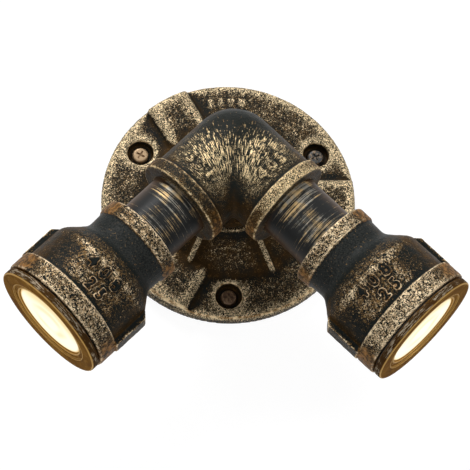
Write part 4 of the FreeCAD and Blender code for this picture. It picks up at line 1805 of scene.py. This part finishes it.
@dataclass
class Studio:
    """Camera, wall, floor and soft lights.

    Args:
        eye: the camera's place in millimetres.
        yaw: its turn to the right in radians.
        pitch: its tilt upwards in radians.
        roll: its roll in radians.
        focal_px: its focal length in pixels of the photograph.
        ambient: how bright the surroundings are as a light.
        floor_drop: how far below the origin the floor is, in metres.
        floor_size: the floor's side in metres.
        wall_gap: how far behind the flange's back the wall is, in millimetres.
        wall_hole: radius of its opening behind the flange, in metres.
        wall_spread: how many times as large as that the wall is.
        lights: its lights.
    """

    eye: Place = (-60.60, -1414.76, -595.96)
    yaw: float = 0.0453
    pitch: float = 0.3885
    roll: float = -0.0050
    focal_px: float = 3000.0
    ambient: float = 0.20
    floor_drop: float = 1.25
    floor_size: float = 6.0
    wall_gap: float = 0.3
    wall_hole: float = 0.060
    wall_spread: float = 50.0
    lights: tuple[SoftLight, ...] = (
        SoftLight("key", (-0.40, -1.05, 1.15), 0.5, 17.0),
        SoftLight("fill", (1.0, -1.25, 0.25), 0.6, 4.5),
        SoftLight("low", (-0.7, -1.2, -0.6), 0.7, 2.5),
        SoftLight("rear", (0.5, 1.2, 0.7), 1.0, 5.0),
    )

    def build(self) -> None:
        """Sets up everything that isn't the object."""
        self.camera()
        self.world()
        self.wall()
        self.floor()
        for light in self.lights:
            light.build()
        bpy.context.scene.view_settings.view_transform = "Standard"

    def camera(self) -> None:
        """Camera at the photograph's viewing angle."""
        level = Vector((math.cos(self.yaw), -math.sin(self.yaw), 0.0))
        ahead = Vector((math.sin(self.yaw), math.cos(self.yaw), 0.0))
        forward = ahead * math.cos(self.pitch) + Vector((0.0, 0.0, math.sin(self.pitch)))
        upright = level.cross(forward)
        right = level * math.cos(self.roll) + upright * math.sin(self.roll)
        up = upright * math.cos(self.roll) - level * math.sin(self.roll)
        data = bpy.data.cameras.new("camera")
        data.sensor_width = SENSOR
        data.lens = self.focal_px / IMAGE_WIDTH * SENSOR
        data.clip_start = 0.05
        data.clip_end = 50.0
        camera = bpy.data.objects.new("camera", data)
        bpy.context.scene.collection.objects.link(camera)
        turn = Matrix((right, up, -forward)).transposed().to_4x4()
        camera.matrix_world = Matrix.Translation(Vector(self.eye) * MM) @ turn
        bpy.context.scene.camera = camera

    def world(self) -> None:
        """White to the camera and in reflections, softer as a light."""
        world = bpy.data.worlds.new("studio")
        bpy.context.scene.world = world
        g = Graph(world)
        strength = g.seen() * (1.0 - self.ambient) + self.ambient
        background = g.node("ShaderNodeBackground", {}, {"Color": WHITE, "Strength": strength})
        g.output(background.outputs[0], "World")

    def pale(self, name: str, shade: float, glow: float) -> bpy.types.Material:
        """Pale surface, white to the camera but for soft shadows, clear from behind.

        Args:
            name: the material's name.
            shade: how much of it takes shadows.
            glow: how white it is of itself.

        Returns:
            The material.
        """
        g = Graph(bpy.data.materials.new(name))
        seen = g.seen()
        dark = g.node("ShaderNodeBsdfDiffuse", {}, {"Color": (shade, shade, shade, 1.0)})
        bright = g.node("ShaderNodeBsdfDiffuse", {}, {"Color": (0.75, 0.75, 0.75, 1.0)})
        diffuse = g.node("ShaderNodeMixShader", {}, {0: seen, 1: bright.outputs[0], 2: dark.outputs[0]})
        glowing = g.node("ShaderNodeEmission", {}, {"Color": WHITE, "Strength": seen * glow})
        both = g.node("ShaderNodeAddShader", {}, {0: diffuse.outputs[0], 1: glowing.outputs[0]})
        clear = g.node("ShaderNodeBsdfTransparent", {}, {})
        behind = g.node("ShaderNodeNewGeometry", {}, {}).outputs["Backfacing"]
        mixed = g.node("ShaderNodeMixShader", {}, {0: behind, 1: both.outputs[0], 2: clear.outputs[0]})
        return g.output(mixed.outputs[0])

    def wall(self) -> None:
        """Wall that the flange is screwed to, open behind the flange."""
        bpy.ops.object.select_all(action="DESELECT")
        bpy.ops.mesh.primitive_circle_add(
            vertices=64, radius=self.wall_hole, location=(0.0, self.wall_gap * MM, 0.0),
            rotation=(math.radians(90.0), 0.0, 0.0),
        )
        wall = bpy.context.object
        wall.name = "studio_wall"
        bpy.ops.object.mode_set(mode="EDIT")
        bpy.ops.mesh.select_all(action="SELECT")
        bpy.ops.mesh.extrude_edges_move()
        bpy.ops.transform.resize(value=(self.wall_spread, self.wall_spread, self.wall_spread))
        bpy.ops.object.mode_set(mode="OBJECT")
        self.face(wall, Vector((0.0, -1.0, 0.0)))
        dress(wall, self.pale("studio_wall_paint", 0.15, 0.94))

    def floor(self) -> None:
        """Pale floor far below the fixture."""
        bpy.ops.object.select_all(action="DESELECT")
        place = (0.0, -self.floor_size / 2.0, -self.floor_drop)
        bpy.ops.mesh.primitive_plane_add(size=self.floor_size, location=place)
        floor = bpy.context.object
        floor.name = "studio_floor"
        self.face(floor, Vector((0.0, 0.0, 1.0)))
        dress(floor, self.pale("studio_floor_paint", 0.20, 0.90))

    def face(self, sheet: bpy.types.Object, way: Vector) -> None:
        """Turns a flat sheet's normals to one side.

        Args:
            sheet: the sheet.
            way: the direction of that side.
        """
        select_only(sheet)
        bpy.ops.object.transform_apply(location=True, rotation=True, scale=True)
        if sheet.data.polygons[0].normal.dot(way) < 0.0:
            bpy.ops.object.mode_set(mode="EDIT")
            bpy.ops.mesh.select_all(action="SELECT")
            bpy.ops.mesh.flip_normals()
            bpy.ops.object.mode_set(mode="OBJECT")


# ---- build ---------------------------------------------------------------------------------------
def flange() -> Casting:
    """The wall flange, with its cast digits.

    Returns:
        The casting, not built yet.
    """
    iron = CastIron(0.52, 0.35, patchy=0.22, pale_gold=(0.98, 0.78, 0.48))
    marks: list[CastMark] = [FlatMark("3628", 4.4, 0.42, 54.5, 6.5, 91.0, 5.2)]
    return FlangeCasting("wall_flange", "flange_casting", "wall_side", WALL_AXIS, 0.66, marks,
                         ((6.0, 0.18), (1.9, 0.24)), finish=iron)


def elbow() -> Casting:
    """The elbow, with its cast digits.

    Returns:
        The casting, not built yet.
    """
    crotch = (0.0, 0.0, -36.0)
    iron = CastIron(0.55, 0.8, crotch, black=(0.0150, 0.0180, 0.0160), pale_gold=(0.98, 0.77, 0.44))
    foot = SIZES.elbow_body_r - 0.35
    marks = [
        CastMark("361", 6.0, 1.05, foot, 23.0, 2.0, 6.2, Side.LEFT),
        CastMark("25", 6.0, 1.05, foot, 15.5, -6.0, 6.2, Side.RIGHT),
        CastMark("408", 6.0, 1.05, foot, 23.5, -4.0, 6.2, Side.RIGHT),
    ]
    return ElbowCasting("side_outlet_elbow", "elbow_casting", "elbow_group", arm_axis(Side.RIGHT), 0.52,
                        marks, finish=iron)


def bell(side: Side) -> Casting:
    """One arm's bell, with its cast digits.

    Args:
        side: which arm.

    Returns:
        The casting, not built yet.
    """
    start = bell_start(side)
    lean = LEAN * side.value
    marks = [
        CastMark("408", 7.0, 1.35, 29.8, start + 34.8, lean, 7.8),
        CastMark("25", 6.0, 1.35, 29.8, start + 43.4, lean - 5.0, 7.0),
    ]
    return BellCasting(
        side.label + "bell_reducer", side.label + "bell_casting", side.label + "bell_group",
        arm_axis(side), 0.48, marks, finish=CastIron(0.70, 1.0), start=start, lean=lean,
        brush=0.93 + 0.07 * side.value,
    )


def main() -> None:
    """Builds the looks in order and reports each piece."""
    logging.basicConfig(level=logging.INFO, format="%(name)s %(message)s")
    Studio().build()
    for casting in (flange(), elbow(), bell(Side.LEFT), bell(Side.RIGHT)):
        casting.build()
    for side in Side:
        Nipple(side).build()
        Lamp(side).build()
    HiddenPieces().build()


if __name__ == "__main__":
    main()
